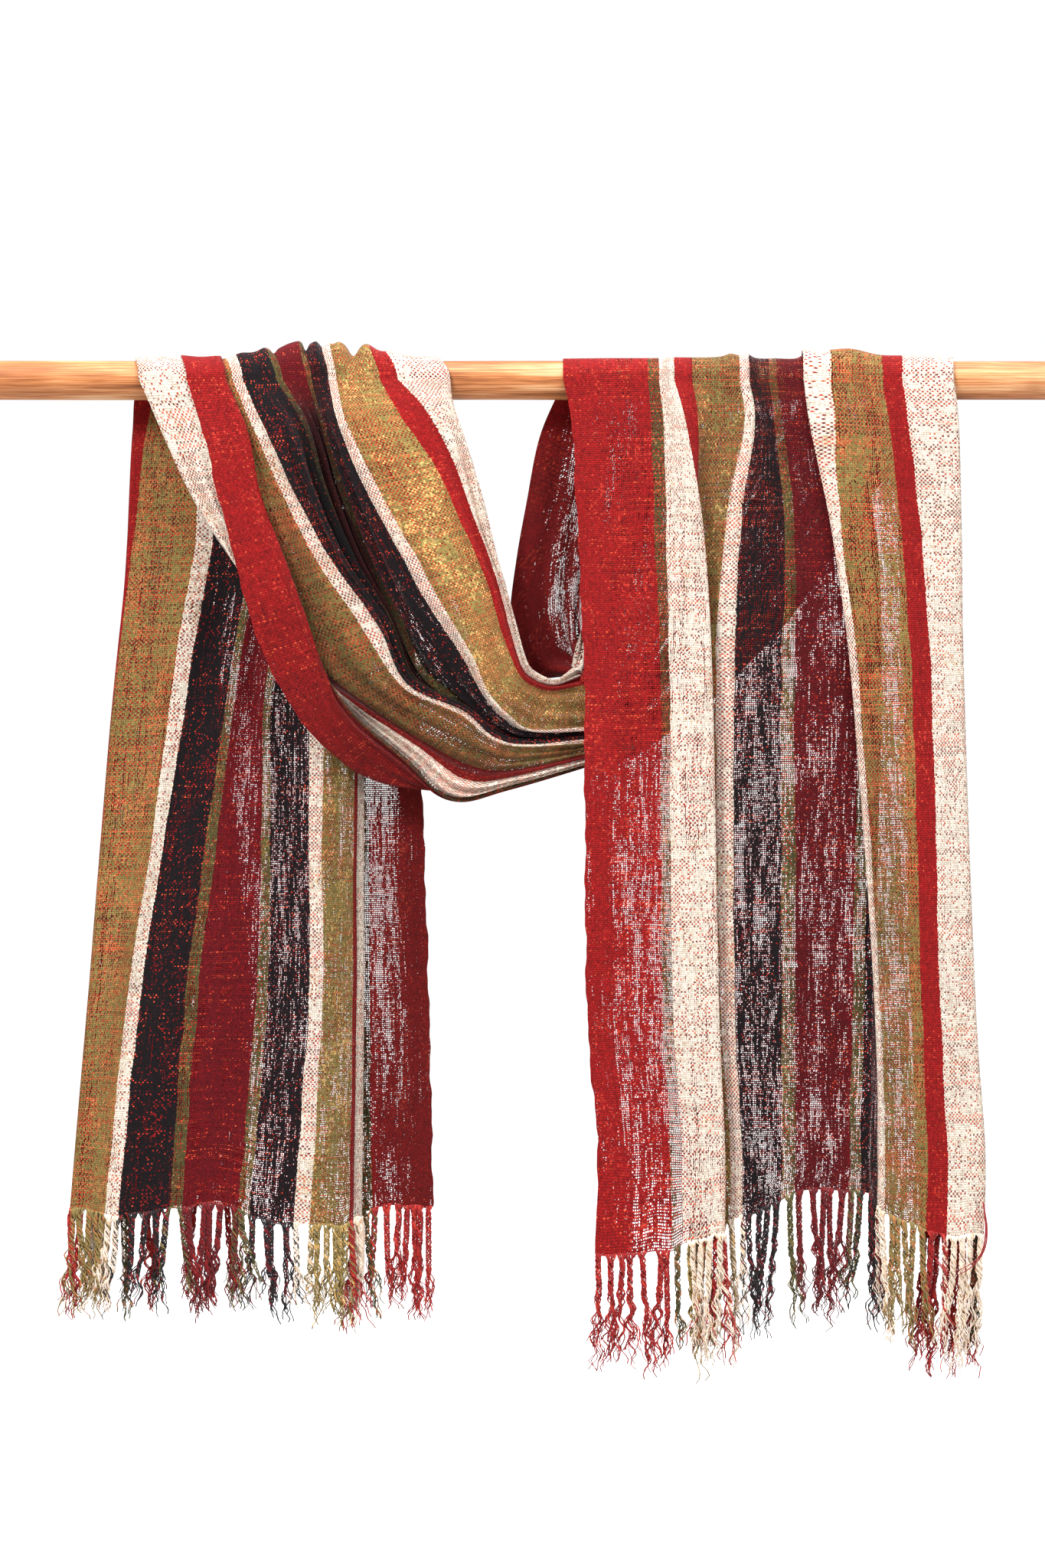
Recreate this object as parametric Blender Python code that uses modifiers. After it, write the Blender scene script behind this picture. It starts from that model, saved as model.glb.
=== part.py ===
# Striped silk scarf hung over a round wooden pole.
# Origin: the middle of the pole's axis. +X runs along the pole, +Z is up, -Y is the front.
# One length of cloth, from hem to hem: left_tail hangs behind the pole, swag comes over the
# pole to the front and sags to the right, riser climbs behind the pole, and right_tail comes
# over it and hangs in front. Both hems carry a knotted fringe.
import math
from collections import namedtuple

import bmesh
import bpy
import numpy as np

# Every size below is in millimetres; MM turns it into metres.
MM = 0.001

# Driving dimensions
POLE_LENGTH = 960.0
POLE_RADIUS = 16.0
POLE_SIDES = 32
WALL = 1.0              # thickness of the cloth
SEAM = 0.3              # gap between one stretch of cloth and the next
TURN_SEAM = 1.6         # the same where the cloth turns from the swag to the riser
WRAP_STEP = 30          # degrees between the sections that bend over the pole
WIDE_SPAN = 18.0        # folds further apart than this get a section line between them
TAIL_OFFSET = 1.5       # how far the tails hang clear of the pole's surface

# Fringe
HEM_SEAM = 0.8          # gap under the hem, wide enough where the hem line slopes
STRAND_PITCH = 5.6
ROOT_WIDTH = 3.0
STRIP_HEIGHT = 3.0
NECK_DROP = 16.0        # the twisted top of each tassel
NECK_WIDTH = 2.2
NECK_DEPTH = 1.5
TIP_WIDTH = 1.1
TIP_DEPTH = 0.9
LEFT_DROP = 78.0        # mean length of the tassels
RIGHT_DROP = 93.0
STRAND_LEAN = 1.2       # how far the tips lean to either side
DROP_SWELL = 0.06       # the lengths of the strands vary by these shares
DROP_RIPPLE = 0.03

# A tail: one row for each fold line, from one selvedge to the other.
# across: distance over the flat cloth.  side: height of the line over the pole's surface.
# top: the same on the pole's crown.  hem: how far the hem hangs below the pole's axis.
# spread: place along the pole at each level.  depth: how far the line stands off the
# plane that hangs from the pole, at each depth level.
Fold = namedtuple("Fold", "across side top hem spread depth")

RIGHT_LEVELS = (0, 39, 127, 252, 502, 627)
RIGHT_DEPTH_LEVELS = (39, 252, 502, 700)
RIGHT_TAIL = (
    Fold(0, 1.5, 1.9, 711, (33, 40, 45, 50, 52, 61, 58), (1, 3, 6, 5)),
    Fold(32, 1.5, 2.3, 711, (67, 72, 75, 81, 81, 90, 87), (3, 8, 2, 9)),
    Fold(64, 1.5, 2.3, 711, (100, 103, 106, 112, 113, 119, 120), (2, 4, 7, 3)),
    Fold(76, 1.5, 2.3, 702, (112, 116, 117, 118, 121, 128, 129), (3, 6, 9, 6)),
    Fold(97, 1.5, 2.6, 697, (117, 123, 131, 137, 140, 147, 147), (8, 13, 15, 14)),
    Fold(118, 1.5, 3.0, 696, (122, 132, 147, 154, 159, 164, 164), (10, 15, 17, 17)),
    Fold(124, 1.5, 3.0, 696, (126, 135, 148, 155, 160, 165, 165), (8, 12, 13.5, 14)),
    Fold(150, 1.5, 2.8, 700, (145, 148, 137, 127, 130, 135, 135), (4.5, 6.5, 8, 8.5)),
    Fold(156, 1.5, 2.8, 700, (152, 153, 138, 127, 130, 135, 135), (0, 0, 1, 1)),
    Fold(189, 1.5, 4.5, 686, (177, 181, 166, 159, 164, 172, 172), (2, 3, 4, 4)),
    Fold(203, 1.5, 3.5, 682, (185, 189, 177, 172, 172, 178, 178), (4, 7, 8, 7)),
    Fold(223, 1.5, 2.0, 674, (191, 196, 195, 190, 189, 192, 193), (5, 9, 4, 10)),
    Fold(243, 1.5, 1.8, 668, (199, 203, 212, 208, 208, 208, 208), (2, 5, 9, 4)),
    Fold(254, 1.5, 2.2, 663, (206, 211, 220, 219, 220, 220, 220), (1, 3, 7, 3)),
    Fold(275, 1.5, 1.6, 657, (217, 223, 235, 240, 240, 239, 238), (4, 6, 3, 7)),
    Fold(325, 1.5, 1.6, 662, (253, 268, 290, 299, 300, 300, 300), (0.5, 0, 0, 0)),
    Fold(330, 3.1, 3.4, 664, (253, 268, 290, 299, 300, 300, 300), (4, 6.5, 7, 7)),
    Fold(358, 3.1, 4.5, 670, (228, 233, 251, 267, 285, 288, 288), (6, 9, 10, 10)),
    Fold(362, 4.7, 7.0, 672, (228, 233, 251, 267, 285, 288, 288), (8.5, 13, 15, 15)),
    Fold(371, 4.7, 9.0, 677, (252, 255, 258, 272, 288, 293, 293), (9, 15, 17, 17)),
    Fold(396, 3.1, 8.0, 686, (271, 277, 282, 293, 306, 310, 310), (6, 11, 9, 13)),
    Fold(421, 3.1, 4.5, 691, (292, 297, 307, 315, 323, 327, 327), (6, 10, 11, 7)),
    Fold(440, 3.1, 4.5, 696, (306, 311, 322, 331, 337, 343, 343), (4, 7, 12, 9)),
    Fold(460, 3.1, 4.5, 698, (328, 333, 340, 345, 353, 360, 360), (6, 9, 9, 12)),
    Fold(478, 3.1, 4.0, 696, (351, 355, 357, 359, 368, 376, 375), (4, 6, 6, 7)),
    Fold(484, 1.5, 2.0, 696, (351, 355, 357, 359, 368, 376, 375), (1, 2, 2, 3)),
    Fold(520, 1.5, 2.0, 698, (327, 327, 330, 332, 341, 348, 348), (0, 0, 1, 1)),
    Fold(560, 1.5, 2.0, 700, (298, 302, 305, 310, 316, 322, 322), (0.5, 2, 0, 2)),
)

LEFT_LEVELS = (0, 39, 127, 252, 377, 502)
LEFT_DEPTH_LEVELS = (39, 127, 252, 502, 680)
LEFT_TAIL = (
    Fold(560, 4.7, 4.9, 672, (-273, -270, -260, -248, -236, -225, -229), (18, 27, 29, 29, 27)),
    Fold(525, 4.7, 4.9, 675, (-240, -243, -252, -266, -275, -273, -273), (13, 20, 22, 23, 24)),
    Fold(520, 3.1, 3.3, 680, (-241, -245, -257, -278, -290, -294, -298), (8, 13, 18, 20, 20)),
    Fold(484, 3.1, 3.3, 683, (-273, -280, -290, -305, -317, -325, -335), (5, 9, 13, 15, 16)),
    Fold(444, 3.1, 3.2, 676, (-313, -320, -325, -337, -347, -357, -372), (4, 6, 8, 9, 9)),
    Fold(438, 1.5, 1.6, 676, (-312, -320, -325, -337, -347, -357, -372), (1, 2, 3, 4, 4)),
    Fold(421, 1.5, 1.6, 678, (-292, -305, -313, -324, -333, -343, -363), (0, 1, 0, 5, 1)),
    Fold(396, 1.5, 1.6, 681, (-264, -284, -292, -308, -320, -335, -353), (0.5, 4, 6, 1, 6)),
    Fold(371, 1.5, 1.7, 683, (-234, -263, -267, -288, -304, -325, -344), (1, 1, 2, 7, 4)),
    Fold(357, 1.5, 5.0, 683, (-227, -248, -252, -273, -293, -312, -330), (2, 4, 6, 8, 1)),
    Fold(337, 1.5, 7.0, 683, (-213, -232, -236, -257, -277, -294, -310), (1, 5, 8, 3, 7)),
    Fold(311, 1.5, 9.0, 678, (-197, -211, -217, -237, -254, -271, -284), (0, 0, 2, 6, 3)),
    Fold(280, 1.5, 10.0, 672, (-184, -195, -202, -222, -231, -240, -255), (1, 5, 7, 0, 8)),
    Fold(250, 1.5, 17.0, 683, (-173, -182, -187, -209, -210, -213, -228), (0, 0, 1, 6, 2)),
    Fold(223, 1.5, 12.0, 688, (-164, -165, -169, -190, -192, -192, -207), (2, 5, 7, 9, 7)),
    Fold(203, 1.5, 4.5, 692, (-158, -152, -157, -173, -175, -175, -188), (1, 2, 3, 4, 9)),
    Fold(189, 1.8, 12.0, 692, (-151, -142, -145, -159, -163, -162, -173), (1.5, 1, 0, 3, 4)),
    Fold(164, 3.1, 12.0, 692, (-134, -127, -130, -145, -148, -148, -155), (4, 4, 4, 6, 3)),
    Fold(139, 3.1, 11.0, 690, (-115, -108, -116, -133, -137, -138, -140), (5, 8, 0, 0, 1)),
    Fold(120, 3.1, 7.0, 688, (-102, -95, -109, -132, -137, -137, -140), (5, 11, 4.5, 5, 6)),
    Fold(98, 3.1, 4.5, 686, (-79, -84, -102, -147, -158, -158, -157), (5, 13, 9, 10, 11)),
    Fold(80, 3.1, 3.4, 684, (-58, -73, -92, -146, -158, -158, -157), (4, 15, 13, 15, 16)),
    Fold(72, 1.5, 1.6, 680, (-59, -75, -89, -127, -132, -133, -130), (1, 12, 15, 16, 17)),
    Fold(40, 1.5, 1.6, 676, (-95, -95, -86, -105, -107, -102, -99), (0, 1, 7, 7, 11)),
    Fold(0, 1.5, 1.6, 676, (-135, -120, -102, -86, -81, -77, -73), (0, -8, 9, 11, 5)),
)

# The swag's sections run from its lower left outline to its upper right one.
# start and end: (x, z) of the outline points.  base: y of the plane that carries the folds.
Section = namedtuple("Section", "start end base")
SWAG_SECTIONS = (
    Section((-288, -55), (-55, -22), -18),
    Section((-263, -105), (-43, -64), -18),
    Section((-228, -168), (-29, -120), -17),
    Section((-207, -232), (-17, -164), -15),
    Section((-172, -288), (-7, -201), -12),
    Section((-120, -327), (2, -231), -8),
    Section((-61, -346), (12, -241), -3),
    Section((-10, -333), (28, -246), 2),
)
# The last section bends: here the swag ends and the riser starts.
TURN_CORNERS = ((86, -308), (78, -290), (56, -254), (44, -236))
TURN_BASE = 6

# reach: how far across each of the nine sections the fold line lies, in percent.
# forward: how far it stands in front of the section's plane, at sections 1, 3, 5, 7 and 9.
Sweep = namedtuple("Sweep", "across reach forward")
SWAG = (
    Sweep(560, (13, 8, 0, 0, 0, 0, 12, 15, 0), (8, 10, 7, -8, -12)),
    Sweep(525, (28.5, 23.5, 20, 21, 14, 13, 5, 1, 3), (8, 11, 8.5, -1, -7)),
    Sweep(520, (28.5, 23.5, 20, 21, 15.5, 14.5, 4, 0, 4), (5.5, 9, 8, 1, -6)),
    Sweep(484, (15, 11, 10, 16, 21, 20.5, 4, 3, 7), (5, 7, 6, 4, 0)),
    Sweep(444, (0, 0, 1.5, 8.5, 23.5, 28.5, 18, 10, 10), (4.5, 5, 4, 5, 5)),
    Sweep(438, (0, 0, 1.5, 8.5, 24.5, 30, 21.5, 13, 11), (1.5, 2, 3.5, 5, 5)),
    Sweep(421, (9, 10, 11, 15, 27, 32.5, 30, 19, 13), (1.5, 1, 2.5, 4, 3)),
    Sweep(396, (21, 21, 23, 27.5, 36.5, 45, 42, 29, 16.5), (1.5, 2.5, 5, 6, 0)),
    Sweep(371, (31.5, 31, 32, 42, 45.5, 58, 51.5, 41, 19.5), (2, 4, 9, 7, 4)),
    Sweep(357, (34.5, 35.5, 38.5, 48.5, 47, 59.5, 52.5, 42, 21), (5, 6, 9, 6, 3)),
    Sweep(337, (41.5, 40.5, 42.5, 50, 48.5, 60, 53, 42.5, 22.5), (8, 8, 3, -1, -2)),
    Sweep(311, (49.5, 46.5, 46, 51.5, 50, 60.5, 53.5, 43, 24), (3, 0, -5, -10, -8)),
    Sweep(280, (52, 50, 49, 53, 52, 61, 54.5, 44, 26), (-5, -10, -13, -18, -12)),
    Sweep(250, (54, 52, 51.5, 54.5, 54.5, 62, 56, 45.5, 28.5), (-5, -9, -9, -12, -8)),
    Sweep(223, (57, 55.5, 56.5, 61, 65.5, 66.5, 58.5, 47, 30), (3, 3, 0, -4, -4)),
    Sweep(203, (61, 59, 63.5, 69, 74, 72, 64.5, 52, 31.5), (7, 7, 5, 2, -1)),
    Sweep(189, (64.5, 64.5, 68.5, 74.5, 78.5, 76, 70, 55, 34), (7, 8, 8, 6, 1)),
    Sweep(164, (75.5, 77, 81.5, 85.5, 87.5, 86, 82, 75, 56), (9, 10, 9, 8, 2)),
    Sweep(139, (86, 89.5, 92, 95, 94.5, 95.5, 94, 93.5, 85), (7, 8, 7, 6, 0)),
    Sweep(120, (93, 95, 96.5, 98.5, 98.5, 98, 97.5, 97.5, 93), (7, 7, 6, 5, 0)),
    Sweep(98, (99, 99.5, 99.5, 100, 100, 100, 100, 100, 99), (5, 5, 4, 4, -1)),
    Sweep(80, (100, 100, 100, 99.5, 99.5, 99.5, 99, 99.5, 100), (2, 1, 0, 0, -2.5)),
    Sweep(72, (99, 99, 98.5, 98, 97.5, 97.5, 96.5, 98, 99), (-1, -2, -3, -3, -4.5)),
    Sweep(40, (91, 90.5, 91, 91, 91, 91, 91, 94, 92), (-4, -7, -8, -8, -7)),
    Sweep(0, (77.5, 78, 79, 80, 80.5, 82, 84, 88, 84), (-8, -12, -13, -11, -9)),
)

# The riser's two selvedges, from the turn up to the pole: (x, y, z) at each section.
RISER_SELVEDGE_0 = (
    (51, 17, -247), (34, 19, -243), (10, 19, -240), (-5, 17, -216), (-10, 16, -189),
    (-5, 16, -145), (3, 16.5, -100), (14, 17.5, -45), (33, 17.8, -0.5),
)
RISER_SELVEDGE_560 = (
    (86, 18, -308), (112, 21, -292), (148, 23, -266), (187, 24, -228), (223, 24, -189),
    (258, 23, -136), (290, 22, -90), (325, 19.5, -45), (350, 17.8, -0.5),
)
# Its spread behind the pole, where it is one smooth layer: distance across, place along X.
RISER_SPREAD = (
    (0, 33), (64, 100), (156, 152), (275, 217), (371, 256), (421, 292), (478, 330), (560, 352),
)
# The under side of the swag's top fold turns back behind it: the riser starts this far behind.
FLAP_WIDTH = 98
FLAP_BACK = 2.0
RISER_FOLDS = 3.0
RISER_FOLD_DEPTH = 24.0
LEFT_PULL = 3.0         # how fast each selvedge's shape fades across the riser
RIGHT_PULL = 1.5

# Parts in each span between two levels or sections
LEFT_STEPS = (1, 2, 2, 2, 2, 2)
RIGHT_STEPS = (1, 2, 2, 3, 2, 1)
SWAG_STEPS = (1, 2, 2, 2, 2, 2, 2, 2, 2)

# Red, green and blue of each node
COLOURS = {
    "pole": (0.42, 0.22, 0.09),
    "left_tail": (0.22, 0.03, 0.03),
    "swag": (0.36, 0.34, 0.07),
    "right_tail": (0.30, 0.04, 0.03),
    "riser": (0.16, 0.02, 0.03),
    "left_fringe": (0.10, 0.02, 0.02),
    "right_fringe": (0.12, 0.03, 0.02),
}


def put(obj, collection, roughness):
    """Give an object its own material and place it in the collection."""
    material = bpy.data.materials.new(obj.name)
    material.use_nodes = True
    shader = material.node_tree.nodes["Principled BSDF"]
    shader.inputs["Base Color"].default_value = (*COLOURS[obj.name], 1.0)
    shader.inputs["Roughness"].default_value = roughness
    shader.inputs["Metallic"].default_value = 0.0
    obj.data.materials.append(material)
    collection.objects.link(obj)
    return obj


def catmull(points, steps):
    """Smooth curve through points (first axis), with steps[i] parts in span i."""
    padded = np.concatenate([[2 * points[0] - points[1]], points, [2 * points[-1] - points[-2]]])
    found = [points[0]]
    for span, count in enumerate(steps):
        before, a, b, after = padded[span:span + 4]
        for part in range(1, count + 1):
            t = part / count
            curve = 2 * a + (b - before) * t
            curve = curve + (2 * before - 5 * a + 4 * b - after) * t ** 2
            curve = curve + (3 * a - before - 3 * b + after) * t ** 3
            found.append(curve / 2)
    return np.array(found)


def column_picks(across):
    """Columns of the mesh: each fold line, and the middle of each wide span."""
    picks = [0.0]
    for row in range(1, len(across)):
        span = abs(across[row] - across[row - 1])
        if span > WIDE_SPAN:
            picks.append(row - 0.5)
        picks.append(float(row))
    return picks


def round_across(values, picks):
    """Rounded line over the fold lines (first axis), read at the picked columns."""
    last = len(values) - 1
    found = []
    for pick in picks:
        row = int(pick)
        if pick != row:
            found.append(0.5 * (values[row] + values[row + 1]))
        elif row in (0, last):
            found.append(values[row])
        else:
            found.append(0.125 * values[row - 1] + 0.75 * values[row] + 0.125 * values[row + 1])
    return np.array(found)


def wrap_point(x, side, top, angle):
    """Point over the pole: -90 degrees is its back, 0 its crown and 90 its front."""
    turn = math.radians(angle)
    radius = POLE_RADIUS + side + (top - side) * math.cos(turn) ** 2
    return (x, -radius * math.sin(turn), radius * math.cos(turn))


def wrap_lines(folds):
    """Fold lines over the pole, from its back to its front: rows, sections, xyz."""
    angles = range(-90, 91, WRAP_STEP)
    lines = [[wrap_point(f.spread[0], f.side, f.top, angle) for angle in angles] for f in folds]
    lines = np.array(lines)
    lines[:, 0, 2] += SEAM / 2
    return lines


def tail_lines(folds, levels, depth_levels, front, steps):
    """Fold lines of a tail below the pole. front is -1 before the pole and 1 behind it."""
    lines = []
    for fold in folds:
        drops = np.array([*levels, fold.hem], dtype=float)
        depths = np.interp(drops, depth_levels, fold.depth) + POLE_RADIUS + TAIL_OFFSET
        depths[0] = POLE_RADIUS + fold.side
        points = np.column_stack([fold.spread, front * depths, -drops])
        lines.append(catmull(points, steps))
    return np.array(lines)


def swag_lines(steps):
    """Fold lines of the swag from the pole's front to the turn."""
    corners = np.array(TURN_CORNERS, dtype=float)
    lengths = np.linalg.norm(np.diff(corners, axis=0), axis=1)
    marks = np.concatenate([[0], np.cumsum(lengths)]) / lengths.sum()
    lines = []
    for fold, sweep in zip(LEFT_TAIL, SWAG):
        points = [wrap_point(fold.spread[0], fold.side, fold.top, 90)]
        forward = np.interp(range(len(sweep.reach)), (0, 2, 4, 6, 8), sweep.forward)
        for number, section in enumerate(SWAG_SECTIONS):
            share = sweep.reach[number] / 100
            x, z = np.array(section.start) * (1 - share) + np.array(section.end) * share
            points.append((x, section.base - forward[number], z))
        share = sweep.reach[-1] / 100
        x = np.interp(share, marks, corners[:, 0])
        z = np.interp(share, marks, corners[:, 1])
        points.append((x, TURN_BASE - forward[-1], z))
        line = catmull(np.array(points), steps)
        final = line[-1] - line[-2]
        line[-1] -= final / np.linalg.norm(final) * TURN_SEAM / 2
        lines.append(line)
    return np.array(lines)


def riser_grid(bottom, across):
    """Sheet that fans out from the turn to the pole's back, pulled to its two selvedges."""
    left = np.array(RISER_SELVEDGE_0, dtype=float)
    right = np.array(RISER_SELVEDGE_560, dtype=float)
    bottom = bottom.copy()
    bottom[:, 1] += FLAP_BACK * np.clip(1 - across / FLAP_WIDTH, 0, 1)
    left[0], right[0] = bottom[0], bottom[-1]
    top = np.tile(left[-1], (len(across), 1))
    top[:, 0] = np.interp(across, *np.transpose(RISER_SPREAD))
    spans = len(left) - 1
    grid = []
    for column, s in enumerate(across / across.max()):
        line = []
        for number in range(spans + 1):
            t = number / spans
            point = (1 - t) * bottom[column] + t * top[column]
            left_pull = left[number] - (1 - t) * bottom[0] - t * top[0]
            right_pull = right[number] - (1 - t) * bottom[-1] - t * top[-1]
            point = point + (1 - s) ** LEFT_PULL * left_pull + s ** RIGHT_PULL * right_pull
            wave = math.sin(2 * math.pi * RISER_FOLDS * s)
            point[1] += RISER_FOLD_DEPTH * wave * t * (1 - t) ** 2
            line.append(point)
        line = np.array(line)
        first = line[1] - line[0]
        line[0] += first / np.linalg.norm(first) * TURN_SEAM / 2
        grid.append(line)
    return np.array(grid)


def cloth(name, grid, collection):
    """Closed cloth wall around a grid of points: columns across, sections along."""
    columns, sections, _ = grid.shape
    mesh = bpy.data.meshes.new(name)
    faces = []
    for column in range(columns - 1):
        for section in range(sections - 1):
            a = column * sections + section
            faces.append((a, a + sections, a + sections + 1, a + 1))
    mesh.from_pydata((grid.reshape(-1, 3) * MM).tolist(), [], faces)
    obj = put(bpy.data.objects.new(name, mesh), collection, 0.55)
    solidify = obj.modifiers.new("wall", "SOLIDIFY")
    solidify.thickness = WALL * MM
    solidify.offset = 0.0
    mesh.shade_smooth()
    return obj


def along_hem(hem, place):
    """Point on the hem line at a distance along it, and the direction there."""
    marks = np.concatenate([[0], np.cumsum(np.linalg.norm(np.diff(hem, axis=0), axis=1))])
    point = np.array([np.interp(place, marks, hem[:, axis]) for axis in range(3)])
    ahead = np.array([np.interp(place + 1.5, marks, hem[:, axis]) for axis in range(3)])
    behind = np.array([np.interp(place - 1.5, marks, hem[:, axis]) for axis in range(3)])
    heading = (ahead - behind)[:2]
    return point, heading / max(np.linalg.norm(heading), 0.01)


def ring(mesh, centre, heading, width, depth):
    """Four corners of a level rectangle whose width runs along the heading."""
    side = np.array([-heading[1], heading[0]])
    corners = []
    for along, out in ((-1, -1), (1, -1), (1, 1), (-1, 1)):
        xy = centre[:2] + heading * along * width / 2 + side * out * depth / 2
        corners.append(mesh.verts.new((xy[0] * MM, xy[1] * MM, centre[2] * MM)))
    return corners


def fringe(name, hem, drop, collection):
    """Row of strands that hang from a narrow strip just under the hem."""
    mesh = bmesh.new()
    length = np.linalg.norm(np.diff(hem, axis=0), axis=1).sum()
    count = int(length // STRAND_PITCH)
    margin = (length - count * STRAND_PITCH) / 2
    below = np.array([0, 0, -HEM_SEAM])
    foot = np.array([0, 0, -HEM_SEAM - STRIP_HEIGHT])

    places = [0.0]
    for number in range(count):
        centre = margin + (number + 0.5) * STRAND_PITCH
        places += [centre - ROOT_WIDTH / 2, centre + ROOT_WIDTH / 2]
    places.append(length)

    posts = []
    for place in places:
        point, heading = along_hem(hem, place)
        side = np.array([-heading[1], heading[0], 0]) * WALL / 2
        upper = [point + below - side, point + below + side]
        corners = [*upper, point + foot + side, point + foot - side]
        posts.append([mesh.verts.new((corner * MM).tolist()) for corner in corners])

    for number, (a, b) in enumerate(zip(posts, posts[1:])):
        mesh.faces.new((a[0], a[1], b[1], b[0]))
        mesh.faces.new((a[1], a[2], b[2], b[1]))
        mesh.faces.new((a[3], a[0], b[0], b[3]))
        if number % 2 == 0:
            mesh.faces.new((a[2], a[3], b[3], b[2]))
            continue
        strand = number // 2
        middle = (places[number] + places[number + 1]) / 2
        point, heading = along_hem(hem, middle)
        lean = STRAND_LEAN * math.sin(2.4 * strand)
        swell = DROP_SWELL * math.sin(1.7 * strand) + DROP_RIPPLE * math.sin(4.1 * strand)
        fall = drop * (1 + swell)
        neck_centre = point + foot - np.array([0, 0, NECK_DROP])
        tip_centre = point + foot - np.array([0, 0, fall])
        tip_centre[:2] += heading * lean
        neck = ring(mesh, neck_centre, heading, NECK_WIDTH, NECK_DEPTH)
        tip = ring(mesh, tip_centre, heading, TIP_WIDTH, TIP_DEPTH)
        root = [a[3], b[3], b[2], a[2]]
        for upper, lower in ((root, neck), (neck, tip)):
            for corner in range(4):
                after = (corner + 1) % 4
                mesh.faces.new((upper[corner], upper[after], lower[after], lower[corner]))
        mesh.faces.new(tip)
    mesh.faces.new(posts[0])
    mesh.faces.new(posts[-1][::-1])
    bmesh.ops.recalc_face_normals(mesh, faces=mesh.faces)

    data = bpy.data.meshes.new(name)
    mesh.to_mesh(data)
    mesh.free()
    return put(bpy.data.objects.new(name, data), collection, 0.6)


def pole(collection):
    """Round pole along X."""
    mesh = bmesh.new()
    bmesh.ops.create_cone(
        mesh, cap_ends=True, segments=POLE_SIDES, radius1=POLE_RADIUS * MM,
        radius2=POLE_RADIUS * MM, depth=POLE_LENGTH * MM,
    )
    data = bpy.data.meshes.new("pole")
    mesh.to_mesh(data)
    mesh.free()
    obj = put(bpy.data.objects.new("pole", data), collection, 0.45)
    obj.rotation_euler = (0, math.pi / 2, 0)
    return obj


def main():
    """Build the pole, the four stretches of cloth and the two fringes."""
    for obj in list(bpy.data.objects):
        bpy.data.objects.remove(obj, do_unlink=True)
    collection = bpy.data.collections.new("silk_scarf_on_pole")
    bpy.context.scene.collection.children.link(collection)

    pole(collection)

    left_across = np.array([fold.across for fold in LEFT_TAIL], dtype=float)
    left_picks = column_picks(left_across)
    left = tail_lines(LEFT_TAIL, LEFT_LEVELS, LEFT_DEPTH_LEVELS, 1, LEFT_STEPS)
    left[:, 0, 2] -= SEAM / 2
    left_grid = round_across(left, left_picks)
    cloth("left_tail", left_grid, collection)

    swag = swag_lines(SWAG_STEPS)
    swag = np.concatenate([wrap_lines(LEFT_TAIL), swag[:, 1:]], axis=1)
    swag_grid = round_across(swag, left_picks)
    cloth("swag", swag_grid, collection)

    right_across = np.array([fold.across for fold in RIGHT_TAIL], dtype=float)
    right_picks = column_picks(right_across)
    right = tail_lines(RIGHT_TAIL, RIGHT_LEVELS, RIGHT_DEPTH_LEVELS, -1, RIGHT_STEPS)
    right = np.concatenate([wrap_lines(RIGHT_TAIL), right[:, 1:]], axis=1)
    right_grid = round_across(right, right_picks)
    cloth("right_tail", right_grid, collection)

    across = round_across(left_across, left_picks)[::-1]
    cloth("riser", riser_grid(swag_grid[::-1, -1], across), collection)

    fringe("left_fringe", left_grid[:, -1], LEFT_DROP, collection)
    fringe("right_fringe", right_grid[:, -1], RIGHT_DROP, collection)


main()
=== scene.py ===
# Striped silk scarf hung over a round wooden pole, dressed.
# Sizes are in millimetres until a mesh is made. +X runs along the pole, +Z is up, -Y is the front.
import math
from collections import namedtuple
from functools import partial, reduce

import bpy
import numpy as np
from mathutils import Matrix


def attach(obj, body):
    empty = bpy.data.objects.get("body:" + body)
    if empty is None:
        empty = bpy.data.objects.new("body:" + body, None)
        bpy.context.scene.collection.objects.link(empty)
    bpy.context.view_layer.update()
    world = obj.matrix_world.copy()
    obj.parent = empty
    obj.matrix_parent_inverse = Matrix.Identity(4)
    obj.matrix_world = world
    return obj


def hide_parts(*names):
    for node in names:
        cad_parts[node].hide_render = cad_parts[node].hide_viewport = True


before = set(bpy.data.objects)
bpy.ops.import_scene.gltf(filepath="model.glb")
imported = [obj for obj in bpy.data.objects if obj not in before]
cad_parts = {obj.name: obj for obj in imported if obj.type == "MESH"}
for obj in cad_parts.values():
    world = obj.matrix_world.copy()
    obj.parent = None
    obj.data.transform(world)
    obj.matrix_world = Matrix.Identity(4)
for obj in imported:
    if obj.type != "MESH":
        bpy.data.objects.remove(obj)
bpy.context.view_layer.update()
print("frame loaded")

mm = 0.001
clothWidth = 560.0
poleRadius = 16.0


# Colours

def linearColour(red, green, blue):
    # Screen values from 0 to 255 to the linear values that a shader takes.
    shares = [part / 255 for part in (red, green, blue)]
    parts = [s / 12.92 if s < 0.04045 else ((s + 0.055) / 1.055) ** 2.4 for s in shares]
    return (*parts, 1.0)


yarnColours = {
    "brick": (160, 21, 22),
    "oxblood": (108, 9, 19),
    "ember": (214, 62, 46),
    "olive": (150, 128, 72),
    "moss": (88, 82, 46),
    "straw": (238, 190, 116),
    "rust": (206, 128, 76),
    "cream": (255, 236, 217),
    "butter": (230, 196, 158),
    "plum": (24, 16, 20),
    "wine": (132, 24, 34),
}

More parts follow.
